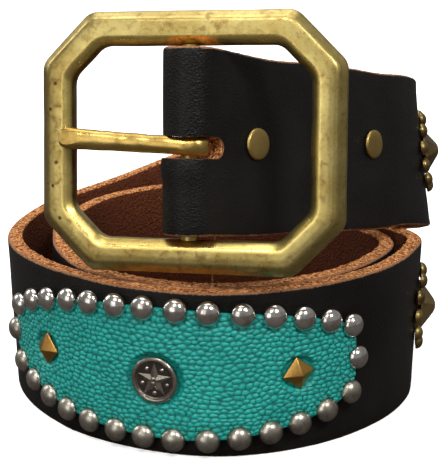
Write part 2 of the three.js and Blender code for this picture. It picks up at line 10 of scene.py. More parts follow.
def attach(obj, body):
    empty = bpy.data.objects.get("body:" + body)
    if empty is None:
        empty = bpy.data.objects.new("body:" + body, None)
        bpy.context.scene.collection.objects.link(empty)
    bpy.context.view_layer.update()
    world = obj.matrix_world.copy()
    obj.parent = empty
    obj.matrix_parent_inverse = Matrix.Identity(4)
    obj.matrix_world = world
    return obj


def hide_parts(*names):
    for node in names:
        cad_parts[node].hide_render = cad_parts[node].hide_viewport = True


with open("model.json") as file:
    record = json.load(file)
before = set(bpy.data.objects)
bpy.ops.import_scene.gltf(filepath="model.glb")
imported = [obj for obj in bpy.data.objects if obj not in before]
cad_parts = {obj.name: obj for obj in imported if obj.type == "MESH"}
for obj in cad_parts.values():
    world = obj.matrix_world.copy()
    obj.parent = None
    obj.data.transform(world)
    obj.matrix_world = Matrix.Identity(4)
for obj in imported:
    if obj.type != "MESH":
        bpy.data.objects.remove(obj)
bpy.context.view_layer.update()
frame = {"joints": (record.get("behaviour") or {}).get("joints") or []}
MM = 0.001

# The viewer stands in front of the roll and looks a little down on it, from an arm's
# length. The lens is a short telephoto, so the front wrap looks hardly larger than the back.
CAMERA_PLACE = Vector((-3.26, -354.03, 138)) * MM
CAMERA_PITCH = math.radians(14.9)
CAMERA_LENS = 95

camera = bpy.data.objects.new("camera", bpy.data.cameras.new("camera"))
camera.data.lens = CAMERA_LENS
camera.data.sensor_fit = "VERTICAL"
camera.data.sensor_height = 36
camera.data.clip_start = 0.01
camera.location = CAMERA_PLACE
camera.rotation_euler = (math.pi / 2 - CAMERA_PITCH, 0, 0)
bpy.context.scene.collection.objects.link(camera)
bpy.context.scene.camera = camera


# The strap is one length of thick veg-tanned leather, dyed black on its grain side only,
# cut and punched flat and then rolled. Its way runs from the cut end of the turned-back
# flap, round the buckle's bar and down round the coil to the tip.
STRAP_WIDTH = 44.5 * MM
STRAP_THICKNESS = 4.3 * MM
GRAIN_BEVEL = 0.8 * MM
FLESH_BEVEL = 0.4 * MM
STRAP_STEP = 1.05 * MM
LOOP_RADIUS = 57 * MM
BAR_RADIUS = 2.2 * MM
FOLD_CLEARANCE = 0.4 * MM
FLAP_LENGTH = 74 * MM
FLAP_PINCH = 12.5 * MM
FLAP_GAP = 0.5 * MM
STRAP_HEADING = 46
FRAME_SWING = -15
TIP_LENGTH = 26 * MM
TIP_END_SHARE = 0.3
SLOT_HEIGHT = 5.3 * MM
SLOT_REACH = 5 * MM
SLOT_BACK_REACH = 9.5 * MM
SLOT_ACROSS = -1 * MM
TAIL_HOLES = 5
TAIL_HOLE_RADIUS = 2.3 * MM
TAIL_HOLE_PITCH = 25 * MM
TAIL_HOLE_FIRST = 62 * MM

# Where the centre bar stands from the middle of the roll, which gives the roll's middle
BAR_FROM_ROLL = Vector((-6.9, -50.6, 81)) * MM
bar_centre = Vector(frame["joints"][0]["pos_m"])
bar_up = Vector(frame["joints"][0]["axis"]).normalized()
roll_middle = bar_centre - BAR_FROM_ROLL

# Rows of the strap's way: turn in degrees seen from above, radius as a share of
# LOOP_RADIUS, lift of the lower edge as a share of STRAP_WIDTH, lean inwards in degrees
ROUTE = (
    (-75, 0.723, 1.25, 10), (-52, 0.625, 1.205, 10), (-24.5, 0.655, 1.14, 9),
    (-4, 0.79, 1.066, 8), (9.5, 0.968, 1.015, 9), (18.5, 1.115, 0.945, 10),
    (28, 1.24, 0.855, 9), (37, 1.33, 0.77, 7), (48, 1.36, 0.675, 3),
    (61, 1.335, 0.565, 2), (85, 1.24, 0.36, 1), (115, 1.15, 0.125, 0),
    (145, 1.1, 0.035, -1), (172, 1.055, 0.004, -2), (195, 1.02, 0.003, -1.5),
    (220, 0.985, 0, 0), (245, 0.99, 0, 0), (270, 1.01, 0, 0), (295, 0.99, 0, 0),
    (320, 0.982, 0, 0), (340, 0.99, 0, 0), (358, 1.0, 0, 0), (366, 0.965, 0.006, 5),
    (376, 0.905, 0.008, 6), (392, 0.88, 0.01, 3), (420, 0.92, 0.04, 0),
    (455, 0.955, 0.07, 0), (490, 0.95, 0.04, 0), (520, 0.88, 0, 0), (545, 0.82, 0, 0),
    (565, 0.83, 0, 0), (590, 0.885, 0, 0), (625, 0.925, 0, 0), (655, 0.9, 0, 0),
    (685, 0.875, 0, 0), (712, 0.86, 0, 0), (726, 0.8, 0.006, 4), (740, 0.76, 0.008, 5),
    (775, 0.76, 0.003, 1), (812, 0.78, 0, 0),
)


def square_to_bar(heading):
    """Unit direction square to the bar that heads the given way seen from above."""
    angle = math.radians(heading)
    level = Vector((math.cos(angle), math.sin(angle), 0))
    return (level - bar_up * level.dot(bar_up)).normalized()


def bar_basis(heading):
    """Matrix whose x heads the given way, whose y runs up the bar and whose z faces out."""
    right = square_to_bar(heading)
    basis = Matrix((right, bar_up, right.cross(bar_up))).transposed().to_4x4()
    return Matrix.Translation(bar_centre) @ basis


fold_matrix = bar_basis(STRAP_HEADING)
fold_radius = BAR_RADIUS + FOLD_CLEARANCE + STRAP_THICKNESS / 2
fold_length = math.pi * fold_radius

route_points = [fold_matrix @ Vector((0, 0, fold_radius))]
route_ups = [bar_up]
for turn, radius, lift, lean in ROUTE:
    outward = Vector((math.cos(math.radians(turn)), math.sin(math.radians(turn)), 0))
    point = outward * radius * LOOP_RADIUS
    point.z = (lift + 0.5) * STRAP_WIDTH
    route_points.append(roll_middle + point)
    route_ups.append((Vector((0, 0, 1)) - outward * math.tan(math.radians(lean))).normalized())


def along_curve(points, place, smallest):
    """Point of the smooth curve through the points, at a place counted in points."""
    index = min(int(place), len(points) - 2)
    share = place - index
    start, end = points[index], points[index + 1]
    before = points[index - 1] if index > 0 else start * 2 - end
    after = points[index + 2] if index + 2 < len(points) else end * 2 - start
    span = math.sqrt((end - start).length)
    span = 1 if span < smallest else span
    span_before = math.sqrt((start - before).length)
    span_before = span if span_before < smallest else span_before
    span_after = math.sqrt((after - end).length)
    span_after = span if span_after < smallest else span_after
    leave = (start - before) / span_before - (end - before) / (span_before + span)
    leave = (leave + (end - start) / span) * span
    arrive = (end - start) / span - (after - start) / (span + span_after)
    arrive = (arrive + (after - end) / span_after) * span
    bend = end * 3 - start * 3 - leave * 2 - arrive
    return start + (leave + (bend + (start * 2 - end * 2 + leave + arrive) * share) * share) * share


ROUTE_DIVISIONS = 4000
last_place = len(route_points) - 1
route_lengths = [0.0]
previous = along_curve(route_points, 0, 1e-6)
for division in range(1, ROUTE_DIVISIONS + 1):
    point = along_curve(route_points, last_place * division / ROUTE_DIVISIONS, 1e-6)
    route_lengths.append(route_lengths[-1] + (point - previous).length)
    previous = point
route_length = route_lengths[-1]


def station_at(length):
    """Point on the strap's middle, with the directions along, out of the grain and up."""
    length = min(max(length, 0), route_length)
    low, high = 0, ROUTE_DIVISIONS
    while high - low > 1:
        middle = (low + high) // 2
        if route_lengths[middle] <= length:
            low = middle
        else:
            high = middle
    share = (length - route_lengths[low]) / (route_lengths[high] - route_lengths[low])
    place = last_place * (low + share) / ROUTE_DIVISIONS
    point = along_curve(route_points, place, 1e-6)
    ahead = along_curve(route_points, min(place + 0.004, last_place), 1e-6)
    behind = along_curve(route_points, max(place - 0.004, 0), 1e-6)
    along = (ahead - behind).normalized()
    out = along.cross(along_curve(route_ups, place, 1e-4)).normalized()
    return point, along, out, out.cross(along)


def length_at_turn(turn):
    """Length along the route at which it has turned by that many degrees."""
    row = next(index for index, entry in enumerate(ROUTE) if entry[0] >= turn)
    share = (turn - ROUTE[row - 1][0]) / (ROUTE[row][0] - ROUTE[row - 1][0])
    return route_lengths[round((row + share) / last_place * ROUTE_DIVISIONS)]


def rolled_station(along):
    """Middle point, outward and upward directions of the rolled strap at a place of the
    flat one, counted from the front of the fold: flap below zero, coil above it."""
    if along >= 0:
        point, forward, out, up = station_at(along)
        return point, out, up
    if along > -fold_length:
        angle = math.pi * (1 + along / fold_length)
        out = Vector((-math.sin(angle), 0, -math.cos(angle)))
        out = (fold_matrix.to_3x3() @ out).normalized()
        return bar_centre + out * fold_radius, out, bar_up
    length = -along - fold_length
    point, forward, out, up = station_at(length)
    apart = STRAP_THICKNESS + FLAP_GAP
    widening = 2 * fold_radius - apart
    near = min(max(1 - length / FLAP_PINCH, 0), 1)
    gap = apart + widening * near * near * (3 - 2 * near)
    slope = math.atan(widening * 6 * near * (1 - near) / FLAP_PINCH)
    return point - out * gap, forward * math.sin(slope) - out * math.cos(slope), up


# The leather has spread a little at its upper edge near the buckle and at its lower edge
# past the frame, and the lower lip of the fold bulges beside the prong's slot
SPREAD_UP = 0.06
SPREAD_DOWN = 0.06
SPREAD_UP_END = 30 * MM
SPREAD_DOWN_LEAST = 0.45
SPREAD_DOWN_START = 26 * MM
SPREAD_DOWN_FULL = 42 * MM
SPREAD_DOWN_END = 84 * MM
LIP_BULGE = 0.9 * MM
LIP_PLACE = -6 * MM
LIP_REACH = 3.2 * MM


def spread(along, across):
    """Place across the strap once it has spread near the buckle."""
    length = along if along > 0 else max(-along - fold_length, 0)
    if across > 0:
        return across * (1 + SPREAD_UP * max(1 - length / SPREAD_UP_END, 0))
    rising = (length - SPREAD_DOWN_START) / (SPREAD_DOWN_FULL - SPREAD_DOWN_START)
    falling = (SPREAD_DOWN_END - length) / (SPREAD_DOWN_END - SPREAD_DOWN_FULL)
    return across * (1 + SPREAD_DOWN * max(min(max(rising, SPREAD_DOWN_LEAST), falling, 1), 0))


def tip_narrowing(along):
    """Share of its full width that the strap has at a place, under 1 only at the tip."""
    left = route_length - along
    if left >= TIP_LENGTH:
        return 1
    across = (1 - left / TIP_LENGTH) * math.sqrt(1 - TIP_END_SHARE ** 2)
    return math.sqrt(1 - across * across)


def capsule(bm, start, end, across, radius, height):
    """Upright prism with round ends, for a punch."""
    low = -height / 2
    verts = []
    for centre, first in ((start, math.pi / 2), (end, -math.pi / 2)):
        for step in range(13):
            angle = first + math.pi * step / 12
            x = centre + radius * math.cos(angle)
            verts.append(bm.verts.new((x, across + radius * math.sin(angle), low)))
    face = bm.faces.new(verts)
    extruded = bmesh.ops.extrude_face_region(bm, geom=[face], use_keep_orig=True)
    moved = [item for item in extruded["geom"] if isinstance(item, bmesh.types.BMVert)]
    bmesh.ops.translate(bm, verts=moved, vec=(0, 0, height))
    bmesh.ops.recalc_face_normals(bm, faces=bm.faces[:])


def new_object(name, bm):
    """Object with the bmesh's shape, linked to the scene; the bmesh is used up."""
    mesh = bpy.data.meshes.new(name)
    bm.to_mesh(mesh)
    bm.free()
    made = bpy.data.objects.new(name, mesh)
    bpy.context.scene.collection.objects.link(made)
    return made


def flat_strap():
    """The strap as cut and punched, with x along it, y across it and z out of the grain."""
    bm = bmesh.new()
    half_width, half = STRAP_WIDTH / 2, STRAP_THICKNESS / 2
    corners = [(-half_width, -half), (half_width, -half), (half_width, half), (-half_width, half)]
    start = -fold_length - FLAP_LENGTH
    verts = [bm.verts.new((start, across, depth)) for across, depth in corners]
    bm.faces.new(verts)
    for row, bevel, segments in ((verts[:2], FLESH_BEVEL, 2), (verts[2:], GRAIN_BEVEL, 4)):
        bmesh.ops.bevel(bm, geom=row, affect="VERTICES", offset=bevel, segments=segments,
                        profile=0.5, material=-1)
    bmesh.ops.delete(bm, geom=bm.faces[:], context="FACES_ONLY")
    for length, cuts in ((STRAP_WIDTH / 2, 21), (STRAP_THICKNESS / 2, 6)):
        wide = [edge for edge in bm.edges if edge.calc_length() > length]
        bmesh.ops.subdivide_edges(bm, edges=wide, cuts=cuts)
    flat_length = route_length - start
    extruded = bmesh.ops.extrude_edge_only(bm, edges=bm.edges[:])["geom"]
    far = [item for item in extruded if isinstance(item, bmesh.types.BMVert)]
    bmesh.ops.translate(bm, verts=far, vec=(flat_length, 0, 0))
    runs = [edge for edge in bm.edges if edge.calc_length() > flat_length / 2]
    bmesh.ops.subdivide_edges(bm, edges=runs, cuts=round(flat_length / STRAP_STEP), use_grid_fill=True)
    ends = [edge for edge in bm.edges if edge.is_boundary]
    bmesh.ops.holes_fill(bm, edges=ends, sides=0)
    bmesh.ops.recalc_face_normals(bm, faces=bm.faces[:])
    for vert in bm.verts:
        vert.co.y *= tip_narrowing(vert.co.x)
    strap = new_object("strap_leather", bm)

    punches = bmesh.new()
    depth = 3 * STRAP_THICKNESS
    slot_half = SLOT_HEIGHT / 2
    capsule(punches, -fold_length - SLOT_BACK_REACH + slot_half, SLOT_REACH - slot_half, SLOT_ACROSS,
            slot_half, depth)
    for hole in range(TAIL_HOLES):
        place = route_length - TAIL_HOLE_FIRST - hole * TAIL_HOLE_PITCH
        capsule(punches, place, place, 0, TAIL_HOLE_RADIUS, depth)
    punch = new_object("punch", punches)
    punching = strap.modifiers.new("punched", "BOOLEAN")
    punching.object = punch
    punching.solver = "EXACT"
    view = bpy.context.evaluated_depsgraph_get()
    strap.data = bpy.data.meshes.new_from_object(strap.evaluated_get(view))
    strap.modifiers.clear()
    bpy.data.objects.remove(punch)
    return strap


# Raw edges bulge and fray by these depths, and the leather is nowhere quite flat
FRAY_DEPTH = 0.4 * MM
WAVE_DEPTH = 0.22 * MM


def rim_distance(place):
    """Distance of a flat strap's point from the nearest outer edge, held under 5 mm."""
    rim = STRAP_WIDTH / 2 * tip_narrowing(place.x) - abs(place.y)
    return max(min(rim, place.x + fold_length + FLAP_LENGTH, route_length - place.x, 5 * MM), 0)


def roll_strap(strap):
    """Writes each point's flat place and its distance from the rim, then rolls it up."""
    mesh = strap.data
    for name, kind, domain in (("flat", "FLOAT_VECTOR", "POINT"), ("rim", "FLOAT", "POINT"),
                               ("cut", "FLOAT", "FACE")):
        mesh.attributes.new(name, kind, domain)
    flat, rim, cut = mesh.attributes["flat"], mesh.attributes["rim"], mesh.attributes["cut"]
    for face in mesh.polygons:
        inside = rim_distance(face.center) > GRAIN_BEVEL
        cut.data[face.index].value = 1.0 if inside and abs(face.normal.z) < 0.5 else 0.0
    stations = {}
    for index, vert in enumerate(mesh.vertices):
        place = vert.co.copy()
        flat.data[index].vector = place / MM
        distance = rim_distance(place)
        rim.data[index].value = distance / MM
        key = round(place.x / (0.01 * MM))
        if key not in stations:
            stations[key] = rolled_station(place.x)
        middle, out, up = stations[key]
        depth, across = place.z, place.y
        if distance < 0.3 * MM:
            coarse = noise.noise(place / (1.7 * MM)) + 0.6 * noise.noise(place / (0.55 * MM))
            loose = 0.35 + 0.65 * (0.5 - depth / STRAP_THICKNESS)
            across += math.copysign(FRAY_DEPTH * coarse * loose, across)
            if depth < -0.4 * STRAP_THICKNESS:
                depth += FRAY_DEPTH * noise.noise(place / (0.9 * MM))
        elif distance > 1.2 * MM:
            depth += WAVE_DEPTH * noise.noise(Vector((place.x, place.y, 0)) / (16 * MM))
        if -fold_length < place.x < 0:
            bulge = math.sin(math.pi * -place.x / fold_length)
            depth += LIP_BULGE * bulge * math.exp(-((across - LIP_PLACE) / LIP_REACH) ** 2)
        rolled = middle + out * depth + up * spread(place.x, across)
        rolled.z = max(rolled.z, 0)
        vert.co = rolled


def node(tree, kind, settings=None, **inputs):
    """Shader node with settings and inputs; an input is a value or another socket."""
    made = tree.nodes.new(kind)
    for name, value in (settings or {}).items():
        setattr(made, name, value)
    for name, value in inputs.items():
        socket = made.inputs[int(name[1:])] if name[0] == "i" and name[1:].isdigit() else \
            made.inputs[name.replace("_", " ")]
        if isinstance(value, bpy.types.NodeSocket):
            tree.links.new(value, socket)
        else:
            socket.default_value = value
    return made


def math_node(tree, operation, first, second=0.0, clamp=False):
    """Output of a maths node."""
    made = node(tree, "ShaderNodeMath", {"operation": operation, "use_clamp": clamp}, i0=first, i1=second)
    return made.outputs[0]


def mix_colour(tree, share, first, second, blend="MIX"):
    """Output of a colour mix."""
    made = node(tree, "ShaderNodeMix", {"data_type": "RGBA", "blend_type": blend},
                i0=share, i6=first, i7=second)
    return made.outputs[2]


def ramp(tree, value, low, high, start=0.0, end=1.0):
    """Value mapped from low..high to start..end and held between them."""
    made = node(tree, "ShaderNodeMapRange", {"interpolation_type": "SMOOTHSTEP"},
                i0=value, i1=low, i2=high, i3=start, i4=end)
    return made.outputs[0]


def speckle(tree, place, scale, detail=4.0, roughness=0.55, distortion=0.0):
    """Value of a noise texture, around 0.5."""
    made = node(tree, "ShaderNodeTexNoise", Vector=place, Scale=scale, Detail=detail,
                Roughness=roughness, Distortion=distortion)
    return made.outputs[0]


def cells(tree, place, scale, feature="F1", smoothness=None, randomness=1.0):
    """Distance output of a Voronoi texture."""
    made = node(tree, "ShaderNodeTexVoronoi", {"feature": feature}, Vector=place, Scale=scale,
                Randomness=randomness)
    if smoothness is not None:
        made.inputs["Smoothness"].default_value = smoothness
    return made.outputs["Distance"]


def bump(tree, height, distance, strength=1.0, normal=None):
    """Normal output of a bump."""
    made = node(tree, "ShaderNodeBump", Height=height, Distance=distance, Strength=strength)
    if normal is not None:
        tree.links.new(normal, made.inputs["Normal"])
    return made.outputs[0]


def new_material(name):
    """Empty node material with a shader, and the two of them."""
    material = bpy.data.materials.new(name)
    material.use_nodes = True
    return material, material.node_tree, material.node_tree.nodes["Principled BSDF"]


def rgb(red, green, blue):
    """Linear colour from the usual 0 to 255 values."""
    values = [value / 255 for value in (red, green, blue)]
    linear = [value / 12.92 if value <= 0.04045 else ((value + 0.055) / 1.055) ** 2.4
              for value in values]
    return (*linear, 1)


def strap_material():
    """Black grain with a soft sheen, raw tan edges, and a brown suede inside."""
    material, tree, shader = new_material("belt_leather")
    flat = node(tree, "ShaderNodeAttribute", {"attribute_name": "flat"}).outputs["Vector"]
    rim = node(tree, "ShaderNodeAttribute", {"attribute_name": "rim"}).outputs["Fac"]
    cut = node(tree, "ShaderNodeAttribute", {"attribute_name": "cut"}).outputs["Fac"]
    depth = node(tree, "ShaderNodeSeparateXYZ", Vector=flat).outputs[2]
    half = STRAP_THICKNESS / MM / 2

    ragged = math_node(tree, "MULTIPLY", math_node(tree, "SUBTRACT", speckle(tree, flat, 1.6), 0.5), 0.8)
    edge = ramp(tree, math_node(tree, "ADD", rim, ragged), 0.5, 0.32)
    edge = math_node(tree, "MAXIMUM", edge, cut)
    bevel = ramp(tree, depth, half - 0.65, half - 0.5)
    flesh_side = ramp(tree, depth, 0, -0.5)

    pores = cells(tree, flat, 2.3)
    grain = speckle(tree, flat, 1.8, 6.0, 0.65)
    dull = speckle(tree, flat, 0.05, 3.0)
    black = mix_colour(tree, ramp(tree, dull, 0.35, 0.7), rgb(17, 15, 14), rgb(26, 24, 22))
    black = mix_colour(tree, ramp(tree, speckle(tree, flat, 0.35), 0.62, 0.75, 0, 0.35), black, rgb(42, 38, 35))

    fibres = speckle(tree, flat, 1.0, 8.0, 0.8, 0.6)
    threads = cells(tree, flat, 1.3)
    tan = mix_colour(tree, ramp(tree, fibres, 0.42, 0.6), rgb(164, 88, 42), rgb(250, 182, 116))
    tan = mix_colour(tree, ramp(tree, threads, 0.5, 0.8, 0, 0.85), tan, rgb(84, 38, 16))
    smooth_tan = mix_colour(tree, speckle(tree, flat, 0.8), rgb(136, 92, 62), rgb(178, 128, 90))
    edge_colour = mix_colour(tree, bevel, tan, smooth_tan)

    nap = speckle(tree, flat, 2.2, 8.0, 0.8, 0.8)
    suede = mix_colour(tree, ramp(tree, nap, 0.3, 0.7), rgb(54, 21, 11), rgb(128, 70, 42))

    colour = mix_colour(tree, flesh_side, black, suede)
    colour = mix_colour(tree, edge, colour, edge_colour)
    tree.links.new(colour, shader.inputs["Base Color"])

    grain_rough = ramp(tree, dull, 0.3, 0.7, 0.36, 0.5)
    rough = math_node(tree, "MAXIMUM", grain_rough, math_node(tree, "MULTIPLY", flesh_side, 0.95))
    rough = math_node(tree, "MAXIMUM", rough, math_node(tree, "MULTIPLY", edge, 0.85))
    tree.links.new(rough, shader.inputs["Roughness"])

    soft = math_node(tree, "MAXIMUM", edge, flesh_side)
    grain_height = math_node(tree, "MULTIPLY", math_node(tree, "ADD", pores, grain), 0.12)
    fibre_height = math_node(tree, "MULTIPLY", math_node(tree, "SUBTRACT", fibres, threads), 0.6)
    blended = node(tree, "ShaderNodeMix", i0=soft, i2=grain_height, i3=fibre_height).outputs[0]
    normal = bump(tree, blended, MM, 0.9)
    tree.links.new(normal, shader.inputs["Normal"])
    shader.inputs["Specular IOR Level"].default_value = 0.17
    return material


def finish_piece(piece, material, body, slot, *nodes, smooth=40):
    """Smooths a finished piece, gives it its material, hides the parts it replaces and hangs it on its body."""
    piece.data.materials.clear()
    piece.data.materials.append(material)
    piece.data.shade_smooth()
    piece.data.set_sharp_from_angle(angle=math.radians(smooth))
    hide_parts(*nodes)
    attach(piece, body)


strap = flat_strap()
roll_strap(strap)
finish_piece(strap, strap_material(), "belt", "leather", "strap", smooth=60)


# The buckle frame is one brass casting: a band with a flat face, a broad inner bevel and
# a narrower outer one, swept round an oblong with clipped corners, and a round bar.
FRAME_WIDTH = 78.6 * MM
FRAME_HEIGHT = 65.5 * MM
FRAME_CLIP = 12.8 * MM
FRAME_BAND = 8.6 * MM
FRAME_THICKNESS = 5.4 * MM
FRAME_CORNER = 5 * MM

# Section of the band: distance in from the outer edge and height over the middle plane,
# and between which insets its inner edge is worn smooth and lightened by a painted highlight
FRAME_POLISH_HIGHLIGHT = (6.5, 7.0)
FRAME_SECTION = (
    (0.0, -1.4), (0.0, -0.1), (0.2, 0.35), (0.95, 1.0), (1.15, 1.35), (1.85, 2.1), (2.15, 2.34),
    (2.8, 2.5), (4.2, 2.66), (5.8, 2.68), (6.5, 2.6), (7.0, 2.3), (8.15, 1.2), (8.5, 0.7), (8.6, 0.1),
    (8.6, -1.6),
    (8.3, -2.3), (7.6, -2.7), (1.0, -2.7), (0.25, -2.3),
)
frame_matrix = bar_basis(FRAME_SWING)


def sweep_band():
    """The band, drawn round its eight corners from ring to ring; a corner turns by the
    same radius inside and outside, so each of its rings lies along the corner's mitre."""
    wide, high = FRAME_WIDTH / 2, FRAME_HEIGHT / 2
    corners = [(wide, high - FRAME_CLIP), (wide - FRAME_CLIP, high), (FRAME_CLIP - wide, high),
               (-wide, high - FRAME_CLIP), (-wide, FRAME_CLIP - high), (FRAME_CLIP - wide, -high),
               (wide - FRAME_CLIP, -high), (wide, FRAME_CLIP - high)]
    mitre = math.cos(math.pi / 8)
    rings = []
    for index, corner in enumerate(corners):
        middle = math.pi / 4 * (index + 0.5)
        outward = Vector((math.cos(middle), math.sin(middle), 0)) / mitre
        centre = Vector((*corner, 0)) - outward * FRAME_CORNER
        tangent = Vector((0, 0, 1)).cross(outward)
        for step in range(6):
            angle = math.pi / 4 * (index + step / 5)
            place = centre + Vector((math.cos(angle), math.sin(angle), 0)) * FRAME_CORNER
            axes = Matrix((-outward, tangent, (0, 0, 1))).transposed().to_4x4()
            rings.append(Matrix.Translation(place) @ axes)
    bm = bmesh.new()
    # Marks the worn inner edge that gets a painted highlight
    polish = bm.verts.layers.float.new("polish")
    section = [bm.verts.new((inset * MM, 0, height * MM)) for inset, height in FRAME_SECTION]
    for index, vert in enumerate(section):
        inset, height = FRAME_SECTION[index]
        vert[polish] = 1 if height > 0 and FRAME_POLISH_HIGHLIGHT[0] <= inset <= FRAME_POLISH_HIGHLIGHT[1] else 0
        bm.edges.new((vert, section[index - 1]))
    long_edges = [edge for edge in bm.edges if edge.calc_length() > 1.2 * MM]
    bmesh.ops.subdivide_edges(bm, edges=long_edges, cuts=2)
    bmesh.ops.transform(bm, verts=bm.verts[:], matrix=rings[0])
    front, placed = bm.edges[:], rings[0]
    for start, end in zip(rings, rings[1:] + rings[:1]):
        steps = max(round((end.translation - start.translation).length / (2 * MM)), 1)
        for step in range(1, steps + 1):
            ring = start * (1 - step / steps) + end * (step / steps)
            grown = bmesh.ops.extrude_edge_only(bm, edges=front)["geom"]
            front = [item for item in grown if isinstance(item, bmesh.types.BMEdge)]
            moved = [item for item in grown if isinstance(item, bmesh.types.BMVert)]
            bmesh.ops.transform(bm, verts=moved, matrix=ring @ placed.inverted())
            placed = ring
    bmesh.ops.remove_doubles(bm, verts=bm.verts[:], dist=0.02 * MM)
    bmesh.ops.recalc_face_normals(bm, faces=bm.faces[:])
    return bm


def cast_unevenly(bm, depth, size):
    """Moves the points a little, as a hand-finished casting is never quite true."""
    bm.normal_update()
    for vert in bm.verts:
        vert.co += vert.normal * depth * noise.noise(vert.co / size)


def new_group(name, inputs, outputs):
    """Empty node group with named sockets, and what it is given and what it puts out."""
    tree = bpy.data.node_groups.new(name, "ShaderNodeTree")
    for side, sockets in (("INPUT", inputs), ("OUTPUT", outputs)):
        for socket, kind in sockets.items():
            tree.interface.new_socket(socket, in_out=side, socket_type="NodeSocket" + kind)
    return tree, tree.nodes.new("NodeGroupInput").outputs, tree.nodes.new("NodeGroupOutput").inputs


def place_group(tree, group, shader, **inputs):
    """Places a finish group in a material, and feeds the shader from it."""
    made = node(tree, "ShaderNodeGroup", {"node_tree": group}, **inputs)
    for socket in ("Color", "Roughness", "Normal"):
        into = "Base Color" if socket == "Color" else socket
        tree.links.new(made.outputs[socket], shader.inputs[into])
    return made


FINISH = {"Color": "Color", "Roughness": "Float", "Normal": "Vector"}
# Brass finish; its highlight input lightens a worn edge as a painted highlight and makes it smoother
worn_brass_with_highlight, given, result = new_group("worn_brass_with_highlight", {
    "Base": "Color", "Browner": "Color", "Mottle": "Float", "Rough": "Float", "Pits": "Float",
    "Polish": "Float"}, FINISH)
place = node(worn_brass_with_highlight, "ShaderNodeTexCoord").outputs["Object"]
cloud = speckle(worn_brass_with_highlight, place, 60, 5.0, 0.6)
patches = speckle(worn_brass_with_highlight, place, 320, 6.0, 0.7, 0.4)
fine = speckle(worn_brass_with_highlight, place, 1100, 4.0, 0.7)
tone = mix_colour(worn_brass_with_highlight, ramp(worn_brass_with_highlight, cloud, 0.32, 0.68), given["Base"], given["Browner"])
stain = math_node(worn_brass_with_highlight, "MULTIPLY", ramp(worn_brass_with_highlight, patches, 0.48, 0.72), given["Mottle"])
tone = mix_colour(worn_brass_with_highlight, stain, tone, rgb(118, 82, 42))
specks = math_node(worn_brass_with_highlight, "MULTIPLY", ramp(worn_brass_with_highlight, fine, 0.52, 0.78, 0, 0.7), given["Mottle"])
tone = mix_colour(worn_brass_with_highlight, specks, tone, rgb(84, 62, 30))
tone = mix_colour(worn_brass_with_highlight, given["Pits"], tone, rgb(92, 70, 36))
# Painted highlight, partly real wear: the worn inner edge is lightened towards bright brass
tone = mix_colour(worn_brass_with_highlight, given["Polish"], tone, rgb(255, 226, 132))
worn_brass_with_highlight.links.new(tone, result["Color"])
roughened = math_node(worn_brass_with_highlight, "ADD", given["Rough"], ramp(worn_brass_with_highlight, patches, 0.3, 0.75, 0, 0.16))
smoothed = math_node(worn_brass_with_highlight, "MULTIPLY", given["Polish"], 0.1)
worn_brass_with_highlight.links.new(math_node(worn_brass_with_highlight, "SUBTRACT", roughened, smoothed), result["Roughness"])
height = math_node(worn_brass_with_highlight, "ADD", fine, math_node(worn_brass_with_highlight, "MULTIPLY", patches, 0.8))
height = math_node(worn_brass_with_highlight, "SUBTRACT", height, math_node(worn_brass_with_highlight, "MULTIPLY", given["Pits"], 1.2))
worn_brass_with_highlight.links.new(bump(worn_brass_with_highlight, height, 0.05 * MM, 0.6), result["Normal"])


def brass_material(name, base, browner, rough, mottle, pits=()):
    """Cast brass, lighter and browner in wandering clouds, with a few deep pits and, where these are given, an inner
    edge worn smooth and lightened by a painted highlight.
    """
    material, tree, shader = new_material(name)
    made = place_group(tree, worn_brass_with_highlight, shader, Base=base, Browner=browner, Mottle=mottle, Rough=rough,
                       Pits=0.0, Polish=0.0)
    shader.inputs["Metallic"].default_value = 1.0
    if pits:
        place = node(tree, "ShaderNodeTexCoord").outputs["Object"]
        depth = 0.0
        for pit, size in pits:
            away = node(tree, "ShaderNodeVectorMath", {"operation": "DISTANCE"}, i0=place, i1=pit)
            depth = math_node(tree, "MAXIMUM", depth, ramp(tree, away.outputs["Value"], size, size * 0.4))
        tree.links.new(depth, made.inputs["Pits"])
        # The worn inner edge gets a painted highlight as well as a smoother finish
        rubbed_highlight = node(tree, "ShaderNodeAttribute", {"attribute_name": "polish"}).outputs["Fac"]
        tree.links.new(math_node(tree, "MULTIPLY", rubbed_highlight, 0.85), made.inputs["Polish"])
    return material


# The deepest casting pits of the left bar: place in the frame's plane and radius
FRAME_PITS = ((-35.0, 14.7, 0.7), (-36.4, 8.2, 0.6), (-34.8, -5.3, 0.7), (-35.8, -11.3, 0.6), (-33.9, -19.5, 0.6))
frame_pits = [(frame_matrix @ (Vector((x, y, 2.6)) * MM), size * MM) for x, y, size in FRAME_PITS]
frame_brass = brass_material("cast_brass", rgb(192, 174, 110), rgb(164, 142, 80), 0.31, 0.75, frame_pits)
prong_brass = brass_material("prong_brass", rgb(208, 182, 110), rgb(180, 148, 78), 0.25, 0.4)

BAR_ROOT = 0.1 * MM
band = sweep_band()
bar = bmesh.ops.create_cone(band, cap_ends=True, segments=32, radius1=BAR_RADIUS, radius2=BAR_RADIUS,
                            depth=FRAME_HEIGHT - 2 * FRAME_BAND + 2 * BAR_ROOT)
bmesh.ops.rotate(band, verts=bar["verts"], cent=(0, 0, 0), matrix=Matrix.Rotation(math.pi / 2, 3, "X"))
cast_unevenly(band, 0.12 * MM, 9 * MM)
bmesh.ops.transform(band, verts=band.verts[:], matrix=frame_matrix)
finish_piece(new_object("buckle_frame_casting", band), frame_brass, "frame", "antique_brass",
             "buckle_frame", smooth=35)


